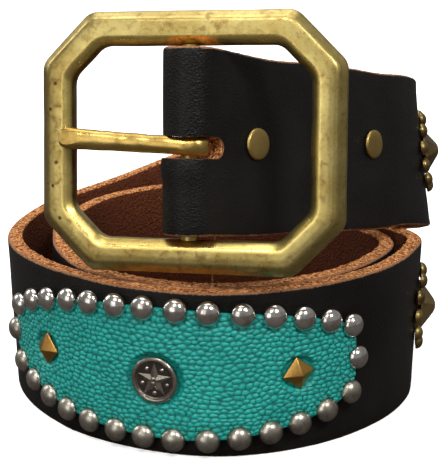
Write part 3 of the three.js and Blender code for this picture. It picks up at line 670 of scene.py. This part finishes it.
# The prong is a hammered brass tongue: an eye closed round the bar, a round shank that
# lies on the frame's left side, and a flat filed into its tip.
PRONG_WIDTH = 5 * MM
PRONG_THICKNESS = 3.6 * MM
PRONG_EYE_WALL = 2.5 * MM
PRONG_TIP_OVERLAP = 2.4 * MM
PRONG_TILT = math.radians(3)
PRONG_ACROSS = -0.7 * MM
CLEARANCE = 0.3 * MM

eye_inner = BAR_RADIUS + CLEARANCE
eye_outer = eye_inner + PRONG_EYE_WALL
rest_height = FRAME_THICKNESS / 2 + CLEARANCE + PRONG_THICKNESS / 2
prong_reach = FRAME_WIDTH / 2 - FRAME_BAND + PRONG_TIP_OVERLAP

# Rows of the shank from the bar to the tip: share of the reach, height over the frame's
# middle plane in mm, and shares of the prong's width and thickness
PRONG_ROWS = (
    (-0.16, 1.3, 0.6, 0.5), (-0.156, 1.9, 0.8, 0.6), (-0.14, 2.7, 0.9, 0.68), (-0.1, 3.6, 0.94, 0.74),
    (-0.02, 4.15, 0.95, 0.78), (0.05, 4.3, 0.95, 0.8), (0.12, 4.25, 0.95, 0.88), (0.2, 4.15, 0.96, 0.93),
    (0.3, 4.1, 0.98, 0.95), (0.45, 4.2, 1.0, 0.96), (0.6, 4.4, 1.03, 0.98), (0.75, 4.6, 1.08, 1),
    (0.87, 4.75, 1.14, 1.04), (0.94, 4.8, 1.1, 1.02), (0.98, 4.7, 0.92, 0.86), (1.0, 4.65, 0.6, 0.55),
)


def turned(rows, steps):
    """Bmesh of rows of radius and height turned round the z axis."""
    bm = bmesh.new()
    verts = [bm.verts.new((radius, 0, height)) for radius, height in rows]
    edges = [bm.edges.new(pair) for pair in zip(verts, verts[1:])]
    bmesh.ops.spin(bm, geom=verts + edges, cent=(0, 0, 0), axis=(0, 0, 1), dvec=(0, 0, 0),
                   angle=2 * math.pi, steps=steps, use_merge=True)
    bmesh.ops.remove_doubles(bm, verts=bm.verts[:], dist=0.003 * MM)
    bmesh.ops.recalc_face_normals(bm, faces=bm.faces[:])
    return bm


def add_to(target, part, matrix):
    """Moves a part by the matrix and adds it to the target bmesh."""
    bmesh.ops.transform(part, matrix=matrix, verts=part.verts[:])
    mesh = bpy.data.meshes.new("part")
    part.to_mesh(mesh)
    part.free()
    target.from_mesh(mesh)
    bpy.data.meshes.remove(mesh)


def lofted_shank():
    """Shank drawn out row by row and rounded, with the filed flat at its tip."""
    bm = bmesh.new()
    ring = bmesh.ops.create_circle(bm, cap_ends=True, segments=12, radius=1)["verts"]
    bmesh.ops.rotate(bm, verts=ring, cent=(0, 0, 0), matrix=Matrix.Rotation(-math.pi / 2, 3, "Y"))
    previous = Matrix.Identity(4)
    cap = bm.faces[:][0]
    for index, (share, height, width, thickness) in enumerate(PRONG_ROWS):
        x = -share * prong_reach
        centre = Vector((x, -x * math.tan(PRONG_TILT), height * MM))
        row = Matrix.Translation(centre) @ Matrix.Diagonal(
            (1, PRONG_WIDTH / 2 * width, PRONG_THICKNESS / 2 * thickness, 1))
        if index > 0:
            grown = bmesh.ops.extrude_face_region(bm, geom=[cap], use_keep_orig=True)
            if index > 1:
                bm.faces.remove(cap)
            cap = next(item for item in grown["geom"] if isinstance(item, bmesh.types.BMFace))
        bmesh.ops.transform(bm, verts=cap.verts[:], matrix=row @ previous.inverted())
        previous = row
    bmesh.ops.recalc_face_normals(bm, faces=bm.faces[:])
    shank = new_object("shank", bm)
    rounding = shank.modifiers.new("rounded", "SUBSURF")
    rounding.levels = rounding.render_levels = 2
    view = bpy.context.evaluated_depsgraph_get()
    rounded = bmesh.new()
    rounded.from_object(shank, view)
    bpy.data.objects.remove(shank)
    file_at = Vector((-0.9 * prong_reach, 0.9 * prong_reach * math.tan(PRONG_TILT),
                      rest_height + 0.37 * PRONG_THICKNESS))
    cut = bmesh.ops.bisect_plane(rounded, geom=rounded.verts[:] + rounded.edges[:] + rounded.faces[:],
                                 plane_co=file_at, plane_no=(-0.1, 0.08, 1), clear_outer=True)
    edges = [item for item in cut["geom_cut"] if isinstance(item, bmesh.types.BMEdge)]
    bmesh.ops.holes_fill(rounded, edges=edges, sides=0)
    return rounded


prong = bmesh.new()
add_to(prong, lofted_shank(), Matrix.Identity(4))
eye_half = PRONG_WIDTH / 2
eye_half_rows = [(eye_inner, 0.7), (eye_inner + 0.4 * MM, 0.84), (eye_outer - 1.4 * MM, 0.84),
                 (eye_outer - 0.7 * MM, 0.72), (eye_outer - 0.25 * MM, 0.48), (eye_outer - 0.05 * MM, 0.2)]
eye_rows = [(radius, -share * eye_half) for radius, share in eye_half_rows]
eye_rows += [(radius, share * eye_half) for radius, share in reversed(eye_half_rows)] + eye_rows[:1]
add_to(prong, turned(eye_rows, 40), Matrix.Rotation(math.pi / 2, 4, "X"))
cast_unevenly(prong, 0.16 * MM, 2.8 * MM)
bmesh.ops.transform(prong, verts=prong.verts[:], matrix=frame_matrix @ Matrix.Translation((0, PRONG_ACROSS, 0)))
finish_piece(new_object("prong_tongue", prong), prong_brass, "tongue", "antique_brass", "prong", smooth=16)


# Two flat-capped brass rivets hold the flap behind the strap, with plain washers at the
# back. Each is turned from a short section and set into the leather.
RIVET_CAP_RADIUS = 4.1 * MM
RIVET_CAP_HEIGHT = 1 * MM
RIVET_SHANK_RADIUS = 1.6 * MM
RIVET_PLACES = ((16.8 * MM, 0.7 * MM), (67 * MM, 1.8 * MM))

rivet_brass = brass_material("rivet_brass", rgb(196, 168, 98), rgb(176, 148, 86), 0.34, 0.3)


def seat(length, across, height, spin=0):
    """Matrix that sets a piece on the grain side: x along the strap, z out of it."""
    point, along, out, up = station_at(length)
    basis = Matrix((along, up, out)).transposed().to_4x4()
    point = point + out * (STRAP_THICKNESS / 2 + height) + up * across
    return Matrix.Translation(point) @ basis @ Matrix.Rotation(math.radians(spin), 4, "Z")


rivet_depth = 2 * STRAP_THICKNESS + FLAP_GAP + 2 * CLEARANCE
for number, (length, across) in enumerate(RIVET_PLACES, 1):
    cap, edge = RIVET_CAP_RADIUS, RIVET_CAP_HEIGHT
    rows = [(0, -rivet_depth - edge), (cap * 0.8, -rivet_depth - edge), (cap * 0.92, -rivet_depth - edge * 0.7),
            (cap * 0.95, -rivet_depth), (RIVET_SHANK_RADIUS, -rivet_depth), (RIVET_SHANK_RADIUS, 0),
            (cap * 0.97, 0), (cap, edge * 0.15), (cap * 0.995, edge * 0.45), (cap * 0.96, edge * 0.72),
            (cap * 0.9, edge * 0.88), (cap * 0.8, edge * 0.95), (cap * 0.4, edge), (0, edge)]
    rivet = bmesh.new()
    add_to(rivet, turned(rows, 48), seat(length, across, CLEARANCE))
    finish_piece(new_object(f"rivet_cap_{number}", rivet), rivet_brass, "belt", "antique_brass",
                 f"rivet_{number}", smooth=50)


# The patch is a pebbled hide dyed turquoise, laid on the front of the roll. Its edge lies
# under a row of studs that press it down, so that it swells a little between them.
PATCH_THICKNESS = 0.9 * MM
PATCH_LENGTH = 102.5 * MM
PATCH_HEIGHT = 35 * MM
PATCH_MIDDLE = -14.3 * MM
PATCH_COLUMNS = 450
PATCH_ROWS = 165
PEBBLE_LENGTH = 1.75 * MM
PEBBLE_HEIGHT = 1.3 * MM
PEBBLE_RISE = 0.5 * MM
PEBBLE_STRAY = 0.75
pebble_middles = {}
DOME_RADIUS = 3.3 * MM
CONCHO_RADIUS = 6.3 * MM
CONCHO_PLACE = (-0.016, -0.06)
PYRAMID_REACH = 4.6 * MM
PYRAMIDS = (("pyramid_spot_left", -0.69, 0), ("pyramid_spot_right", 0.665, 9))
PATCH_SPOTS = [(CONCHO_PLACE, CONCHO_RADIUS)] + [((share, 0), 0.84 * PYRAMID_REACH) for _, share, _ in PYRAMIDS]
half_length, half_height = PATCH_LENGTH / 2, PATCH_HEIGHT / 2
patch_middle = length_at_turn(270) + PATCH_MIDDLE

# Sides of the outline from its top left corner clockwise, as shares of the half length
# and half height, with the studs that each side holds
PATCH_SIDES = (
    (13, (-0.96, 0.5), (-0.6, 1.16), (0.52, 1.2), (0.97, 0.58)),
    (2, (0.97, 0.58), (1.05, 0.05), (0.97, -0.48)),
    (13, (0.97, -0.48), (0.58, -1.14), (-0.58, -1.16), (-0.96, -0.45)),
    (2, (-0.96, -0.45), (-1.1, 0.02), (-0.96, 0.5)),
)


def bezier(controls, share):
    """Point of a Bezier curve with any number of controls."""
    points = [Vector(control) for control in controls]
    while len(points) > 1:
        points = [first.lerp(second, share) for first, second in zip(points, points[1:])]
    return Vector((points[0].x * half_length, points[0].y * half_height))


def evenly(controls, count):
    """Points spaced evenly along a Bezier curve, without its last."""
    fine = [bezier(controls, step / 200) for step in range(201)]
    reach = [0.0]
    for first, second in zip(fine, fine[1:]):
        reach.append(reach[-1] + (second - first).length)
    points = []
    for index in range(count):
        wanted = reach[-1] * index / count
        after = next(step for step, length in enumerate(reach) if length >= wanted)
        points.append(fine[after])
    return points


stud_places = [point for side in PATCH_SIDES for point in evenly(side[1:], side[0])]
outline = [point for side in PATCH_SIDES for point in evenly(side[1:], 48)]
patch_left = min(point.x for point in outline)
patch_right = max(point.x for point in outline)


def patch_span(place):
    """Lower and upper edge of the outline at a place along the patch."""
    crossings = []
    for first, second in zip(outline, outline[1:] + outline[:1]):
        if (first.x <= place) != (second.x <= place):
            share = (place - first.x) / (second.x - first.x)
            crossings.append(first.y + share * (second.y - first.y))
    return min(crossings), max(crossings)


def pebble_height(x, y):
    """Height of a place on its pebble, as a share of the pebble's rise: 0 in a groove."""
    warp = noise.noise_vector(Vector((x, y, 0)) / (12 * MM)) * 0.7
    x, y = x / PEBBLE_LENGTH + warp.x, y / PEBBLE_HEIGHT + warp.y
    first, second = 9.0, 9.0
    for row in range(math.floor(y) - 1, math.floor(y) + 2):
        shift = row % 2 / 2
        for column in range(math.floor(x - shift) - 1, math.floor(x - shift) + 2):
            if (column, row) not in pebble_middles:
                stray = noise.cell_vector(Vector((column + 0.5, row + 0.5, 0.5)))
                pebble_middles[column, row] = (column + shift + 0.5 + PEBBLE_STRAY * (stray.x % 1 - 0.5),
                                               row + 0.5 + PEBBLE_STRAY * (stray.y % 1 - 0.5))
            middle = pebble_middles[column, row]
            away = math.hypot(x - middle[0], y - middle[1])
            if away < first:
                first, second = away, first
            elif away < second:
                second = away
    gap = min((second - first) / 0.7, 1)
    return math.sqrt(gap * (2 - gap)) * (1 - 0.4 * min(first / 0.6, 1) ** 2)


def patch_shape():
    """The patch cut flat, pebbled and pressed by its studs, and then laid round the roll."""
    bm = bmesh.new()
    groove = bm.verts.layers.float.new("groove")
    flat = bm.verts.layers.float_vector.new("flat")
    bmesh.ops.create_grid(bm, x_segments=PATCH_COLUMNS, y_segments=PATCH_ROWS, size=1)
    spans = {}
    stations = {}

    def column(place):
        key = round(place / (0.01 * MM))
        if key not in spans:
            spans[key] = patch_span(place)
            stations[key] = station_at(patch_middle + place)
        return spans[key], stations[key]

    for vert in bm.verts:
        share = 0.5 - 0.5 * math.cos(math.pi * (0.04 + 0.92 * (vert.co.x + 1) / 2))
        place = patch_left + share * (patch_right - patch_left)
        low, high = column(place)[0]
        vert.co = Vector((place, low + (high - low) * (vert.co.y + 1) / 2, 0))
    top = bmesh.ops.extrude_face_region(bm, geom=bm.faces[:], use_keep_orig=True)["geom"]
    raised = [item for item in top if isinstance(item, bmesh.types.BMVert)]
    bmesh.ops.translate(bm, verts=raised, vec=(0, 0, PATCH_THICKNESS))
    bmesh.ops.translate(bm, verts=raised, vec=(0, 0, PATCH_THICKNESS))
    bm.normal_update()
    lengthwise = [edge for edge in bm.edges if edge.verts[0].co.z + edge.verts[1].co.z == 0
                  and abs(edge.verts[0].co.x - edge.verts[1].co.x) > 1e-9
                  and all(abs(face.normal.z) > 0.5 for face in edge.link_faces)]
    bmesh.ops.dissolve_edges(bm, edges=lengthwise, use_verts=True)
    bmesh.ops.recalc_face_normals(bm, faces=bm.faces[:])
    for vert in bm.verts:
        vert[flat] = vert.co / MM
    for vert in raised:
        x, y = vert.co.x, vert.co.y
        pebble = pebble_height(x, y)
        low, high = column(x)[0]
        rim = min(y - low, high - y, x - patch_left, patch_right - x)
        stud = min((stud_place - vert.co.xy).length for stud_place in stud_places)
        pressed = min(max((stud - DOME_RADIUS * 0.8) / (2.2 * MM), 0), 1)
        vert[groove] = (1 - pebble) * 0.9 + 0.1 * (1 - pressed)
        soft = min(max(rim / (1.2 * MM), 0), 1)
        vert.co.z += PEBBLE_RISE * (pebble - 0.8) * soft + 0.5 * MM * (pressed - 0.55) * soft
        vert.co.z -= 0.35 * MM * (1 - soft) ** 2
        for (spot_x, spot_y), reach in PATCH_SPOTS:
            beyond = math.hypot(x - spot_x * half_length, y - spot_y * half_height) - reach
            pinned = min(max(1 - beyond / (1.2 * MM), 0), 1)
            vert.co.z += (PATCH_THICKNESS - 0.3 * MM - vert.co.z) * pinned
    for vert in bm.verts:
        point, along, out, up = column(vert.co.x)[1]
        vert.co = point + out * (STRAP_THICKNESS / 2 + CLEARANCE + vert.co.z) + up * vert.co.y
    return bm


def turquoise_material():
    """Turquoise, darker in the grooves and next to the studs, with scattered lighter specks."""
    material, tree, shader = new_material("turquoise_hide")
    flat = node(tree, "ShaderNodeAttribute", {"attribute_name": "flat"}).outputs["Vector"]
    groove = node(tree, "ShaderNodeAttribute", {"attribute_name": "groove"}).outputs["Fac"]
    wide = speckle(tree, flat, 0.12, 3.0)
    tone = mix_colour(tree, ramp(tree, wide, 0.3, 0.7), rgb(14, 158, 146), rgb(30, 174, 162))
    tone = mix_colour(tree, ramp(tree, groove, 0.25, 0.85), tone, rgb(6, 92, 86))
    tone = mix_colour(tree, ramp(tree, speckle(tree, flat, 2.5, 4.0), 0.55, 0.8, 0, 0.3), tone, rgb(90, 200, 186))
    tree.links.new(tone, shader.inputs["Base Color"])
    tree.links.new(ramp(tree, groove, 0.1, 0.8, 0.36, 0.7), shader.inputs["Roughness"])
    creases = speckle(tree, flat, 3.5, 5.0, 0.65)
    tree.links.new(bump(tree, creases, 0.12 * MM, 0.6), shader.inputs["Normal"])
    return material


finish_piece(new_object("turquoise_hide", patch_shape()), turquoise_material(), "belt", "turquoise",
             "turquoise_patch", smooth=60)


# Thirty bright domed studs hold the patch down. Each is pressed from plated sheet, with a
# small flat rim where it meets the leather.
DOME_HEIGHT = 2.8 * MM
over_patch = 2 * CLEARANCE + PATCH_THICKNESS


def dome_rows(radius, height, levels=10):
    """Section of a dome on a flat base, from the middle of the base to the top."""
    rows = [(0, 0), (radius * 0.94, 0), (radius * 0.99, height * 0.05)]
    for level in range(levels):
        angle = level / levels * math.pi / 2
        rows.append((radius * math.cos(angle), height * (0.12 + 0.88 * math.sin(angle))))
    return rows + [(0, height)]


smudged_plate, given, result = new_group("smudged_plate", {
    "Base": "Color", "Duller": "Color", "Rough": "Float", "Hollow": "Float"}, FINISH)
place = node(smudged_plate, "ShaderNodeTexCoord").outputs["Object"]
smudge = speckle(smudged_plate, place, 420, 5.0, 0.65)
tone = mix_colour(smudged_plate, ramp(smudged_plate, smudge, 0.35, 0.7), given["Base"], given["Duller"])
tone = mix_colour(smudged_plate, given["Hollow"], tone, rgb(34, 30, 27))
smudged_plate.links.new(tone, result["Color"])
roughened = math_node(smudged_plate, "ADD", given["Rough"], ramp(smudged_plate, smudge, 0.3, 0.75, 0, 0.14))
smudged_plate.links.new(roughened, result["Roughness"])
smudged_plate.links.new(bump(smudged_plate, speckle(smudged_plate, place, 700, 4.0), 0.05 * MM, 0.6), result["Normal"])


def silver_material(name, base, duller, rough, blackened=0.0):
    """Plated metal with faint smudges, blackened in its hollows by the given share."""
    material, tree, shader = new_material(name)
    made = place_group(tree, smudged_plate, shader, Base=base, Duller=duller, Rough=rough, Hollow=0.0)
    shader.inputs["Metallic"].default_value = 1.0
    if blackened:
        hollow = node(tree, "ShaderNodeAttribute", {"attribute_name": "hollow"}).outputs["Fac"]
        tree.links.new(math_node(tree, "MULTIPLY", hollow, blackened), made.inputs["Hollow"])
    return material


bright_plate = silver_material("bright_plate", rgb(216, 212, 206), rgb(170, 162, 152), 0.12)
worn_plate = silver_material("worn_plate", rgb(196, 190, 176), rgb(140, 132, 118), 0.27)
for number, place in enumerate(stud_places, 1):
    dome = bmesh.new()
    add_to(dome, turned(dome_rows(DOME_RADIUS, DOME_HEIGHT), 32), seat(patch_middle + place.x, place.y, over_patch))
    plate = bright_plate if number <= 15 else worn_plate
    finish_piece(new_object(f"dome_{number}", dome), plate, "belt", "nickel",
                 f"dome_stud_{number}", smooth=50)


# The concho in the middle of the patch is a struck disc: a rolled rim, a dished field with
# a ridged five-pointed star, and small beads at its heart. Its hollows are blackened.
CONCHO_HEIGHT = 2.2 * MM
STAR_POINTS = 5


def concho_shape():
    """Disc, star and beads in one mesh, with the hollows marked for the dark finish."""
    radius, height = CONCHO_RADIUS, CONCHO_HEIGHT
    bm = bmesh.new()
    rows = [(0, 0), (radius * 0.94, 0), (radius * 0.99, height * 0.1), (radius, height * 0.3),
            (radius * 0.985, height * 0.48), (radius * 0.94, height * 0.6), (radius * 0.88, height * 0.62),
            (radius * 0.83, height * 0.55), (radius * 0.8, height * 0.38), (radius * 0.76, height * 0.32),
            (radius * 0.5, height * 0.32), (0, height * 0.32)]
    add_to(bm, turned(rows, 64), Matrix.Identity(4))
    star = bmesh.new()
    ring = bmesh.ops.create_circle(star, cap_ends=True, segments=2 * STAR_POINTS, radius=1)["verts"]
    for step, vert in enumerate(ring):
        angle = math.pi * step / STAR_POINTS + math.pi / 2
        reach = radius * (0.76 if step % 2 == 0 else 0.3)
        vert.co = Vector((reach * math.cos(angle), reach * math.sin(angle), height * 0.37))
    bmesh.ops.poke(star, faces=star.faces[:], offset=height * 0.42)
    bmesh.ops.recalc_face_normals(star, faces=star.faces[:])
    add_to(bm, star, Matrix.Identity(4))
    for bead in range(STAR_POINTS):
        angle = 2 * math.pi * (bead + 0.5) / STAR_POINTS + math.pi / 2
        spot = Vector((radius * 0.56 * math.cos(angle), radius * 0.56 * math.sin(angle), height * 0.3))
        add_to(bm, turned(dome_rows(radius * 0.1, height * 0.24, 4), 12), Matrix.Translation(spot))
    for offset in (-0.09, 0.09):
        spot = Vector((0, radius * offset, height * 0.7))
        add_to(bm, turned(dome_rows(radius * 0.11, height * 0.28, 5), 16), Matrix.Translation(spot))
    hollow = bm.verts.layers.float.new("hollow")
    for vert in bm.verts:
        away = math.hypot(vert.co.x, vert.co.y) / radius
        low = 1 - min(max((vert.co.z / height - 0.33) / 0.03, 0), 1)
        vert[hollow] = low if away < 0.84 else 0
    return bm


concho_matrix = seat(patch_middle + CONCHO_PLACE[0] * half_length, CONCHO_PLACE[1] * half_height, over_patch)
concho_disc = concho_shape()
bmesh.ops.transform(concho_disc, verts=concho_disc.verts[:], matrix=concho_matrix)
aged_silver = silver_material("aged_silver", rgb(176, 168, 156), rgb(128, 118, 106), 0.24, 0.7)
finish_piece(new_object("concho_disc", concho_disc), aged_silver, "belt", "aged_silver", "concho", smooth=22)


# Two brass pyramids stand on their corners at the ends of the patch. Each is struck from
# thick brass with slightly soft edges.
PYRAMID_HEIGHT = 2.8 * MM

spot_brass = brass_material("spot_brass", rgb(206, 160, 84), rgb(166, 122, 60), 0.26, 0.4)


def pyramid_shape():
    """Low pyramid drawn from a square sheet, with its edges softened."""
    bm = bmesh.new()
    base = bmesh.ops.create_circle(bm, cap_ends=True, segments=4, radius=PYRAMID_REACH)["verts"]
    wall = bmesh.ops.extrude_face_region(bm, geom=bm.faces[:], use_keep_orig=True)["geom"]
    bmesh.ops.translate(bm, verts=[item for item in wall if isinstance(item, bmesh.types.BMVert)],
                        vec=(0, 0, PYRAMID_HEIGHT * 0.16))
    top = next(item for item in wall if isinstance(item, bmesh.types.BMFace))
    bmesh.ops.poke(bm, faces=[top], offset=PYRAMID_HEIGHT * 0.84)
    bmesh.ops.recalc_face_normals(bm, faces=bm.faces[:])
    bmesh.ops.bevel(bm, geom=bm.edges[:], affect="EDGES", offset=0.22 * MM, segments=3, profile=0.5, material=-1)
    bmesh.ops.triangulate(bm, faces=[face for face in bm.faces if len(face.verts) > 4])
    return bm


for name, share, spin in PYRAMIDS:
    pyramid = bmesh.new()
    add_to(pyramid, pyramid_shape(), seat(patch_middle + share * half_length, 0, over_patch, spin))
    finish_piece(new_object(name + "_brass", pyramid), spot_brass, "belt", "antique_brass", name, smooth=20)


# Beside the patch and on the upper strap sit two flowers of brass: a large eight-sided
# spot with a rounded top, and a ring of small domes round it.
SPOT_RADIUS = 7.5 * MM
SPOT_HEIGHT = 5.2 * MM
BEAD_RADIUS = 2.35 * MM
BEAD_HEIGHT = 2.1 * MM
BEAD_COUNT = 12
BEAD_RING_RADIUS = 10.8 * MM
BEND_CLEARANCE = 0.5 * MM
CLUSTERS = (("upper", length_at_turn(26), 1.5 * MM), ("lower", length_at_turn(356), 1 * MM))

old_brass = brass_material("old_brass", rgb(176, 152, 96), rgb(120, 100, 60), 0.3, 0.5)

for name, length, across in CLUSTERS:
    spot = bmesh.new()
    rows = [(0, 0), (SPOT_RADIUS, 0), (SPOT_RADIUS, SPOT_HEIGHT * 0.12), (SPOT_RADIUS * 0.66, SPOT_HEIGHT * 0.5),
            (SPOT_RADIUS * 0.3, SPOT_HEIGHT * 0.88), (SPOT_RADIUS * 0.16, SPOT_HEIGHT * 0.97), (0, SPOT_HEIGHT)]
    add_to(spot, turned(rows, 8), seat(length, across, BEND_CLEARANCE, 22.5))
    bmesh.ops.bevel(spot, geom=[edge for edge in spot.edges if edge.calc_length() > 1.5 * MM],
                    affect="EDGES", offset=0.3 * MM, segments=3, profile=0.5, material=-1)
    finish_piece(new_object(f"{name}_spot_brass", spot), old_brass, "belt", "antique_brass",
                 f"{name}_spot", smooth=30)
    beads = bmesh.new()
    for bead in range(BEAD_COUNT):
        angle = 2 * math.pi * bead / BEAD_COUNT
        place = seat(length + BEAD_RING_RADIUS * math.cos(angle), across + BEAD_RING_RADIUS * math.sin(angle),
                     BEND_CLEARANCE)
        add_to(beads, turned(dome_rows(BEAD_RADIUS, BEAD_HEIGHT, 8), 24), place)
    finish_piece(new_object(f"{name}_beads", beads), old_brass, "belt", "antique_brass",
                 f"{name}_bead_ring", smooth=50)


# A pale studio: a sheet of white paper as floor, a large soft light over it, a key from the
# upper right that throws the buckle's shadow on the strap, and a broad fill from the left
LIGHTS = (
    ("ceiling", (-0.1, 0.25, 1.3), 1.0, 10), ("front_top", (-0.3, -0.75, 0.95), 0.3, 4.5),
    ("key", (0.42, -0.6, 0.72), 0.22, 4.2), ("fill", (-0.85, -1.3, 0.4), 0.9, 4.6),
    ("left_rim", (-0.8, 0.3, 0.5), 0.4, 2.0),
)
PAPER_SEEN = (0.93, 0.93, 0.93, 1)
PAPER_MIRRORED = (0.07, 0.06, 0.055, 1)
bpy.context.scene.view_settings.view_transform = "Standard"
world = bpy.data.worlds.new("studio")
world.use_nodes = True
seen = node(world.node_tree, "ShaderNodeLightPath").outputs["Is Camera Ray"]
sky = mix_colour(world.node_tree, seen, (0.3, 0.3, 0.3, 1), (1, 1, 1, 1))
world.node_tree.links.new(sky, world.node_tree.nodes["Background"].inputs["Color"])
bpy.context.scene.world = world

sheet = bmesh.new()
bmesh.ops.create_grid(sheet, x_segments=1, y_segments=1, size=6)
floor = new_object("floor", sheet)
paper, paper_tree, paper_shader = new_material("white_paper")
direct = node(paper_tree, "ShaderNodeLightPath").outputs["Is Camera Ray"]
paper_tree.links.new(mix_colour(paper_tree, direct, PAPER_MIRRORED, PAPER_SEEN), paper_shader.inputs["Base Color"])
away = node(paper_tree, "ShaderNodeVectorMath", {"operation": "LENGTH"},
            i0=node(paper_tree, "ShaderNodeTexCoord").outputs["Object"]).outputs["Value"]
glow = math_node(paper_tree, "MULTIPLY", ramp(paper_tree, away, 0.08, 0.6, 0.6, 1.0), direct)
paper_shader.inputs["Emission Color"].default_value = (1, 1, 1, 1)
paper_tree.links.new(glow, paper_shader.inputs["Emission Strength"])
paper_shader.inputs["Roughness"].default_value = 0.9
floor.data.materials.append(paper)

for name, place, size, power in LIGHTS:
    light = bpy.data.lights.new(name, "AREA")
    light.size = size
    light.energy = power
    lamp = bpy.data.objects.new(name, light)
    lamp.location = place
    lamp.rotation_euler = (Vector((0, 0, 0.05)) - Vector(place)).to_track_quat("-Z", "Y").to_euler()
    bpy.context.scene.collection.objects.link(lamp)
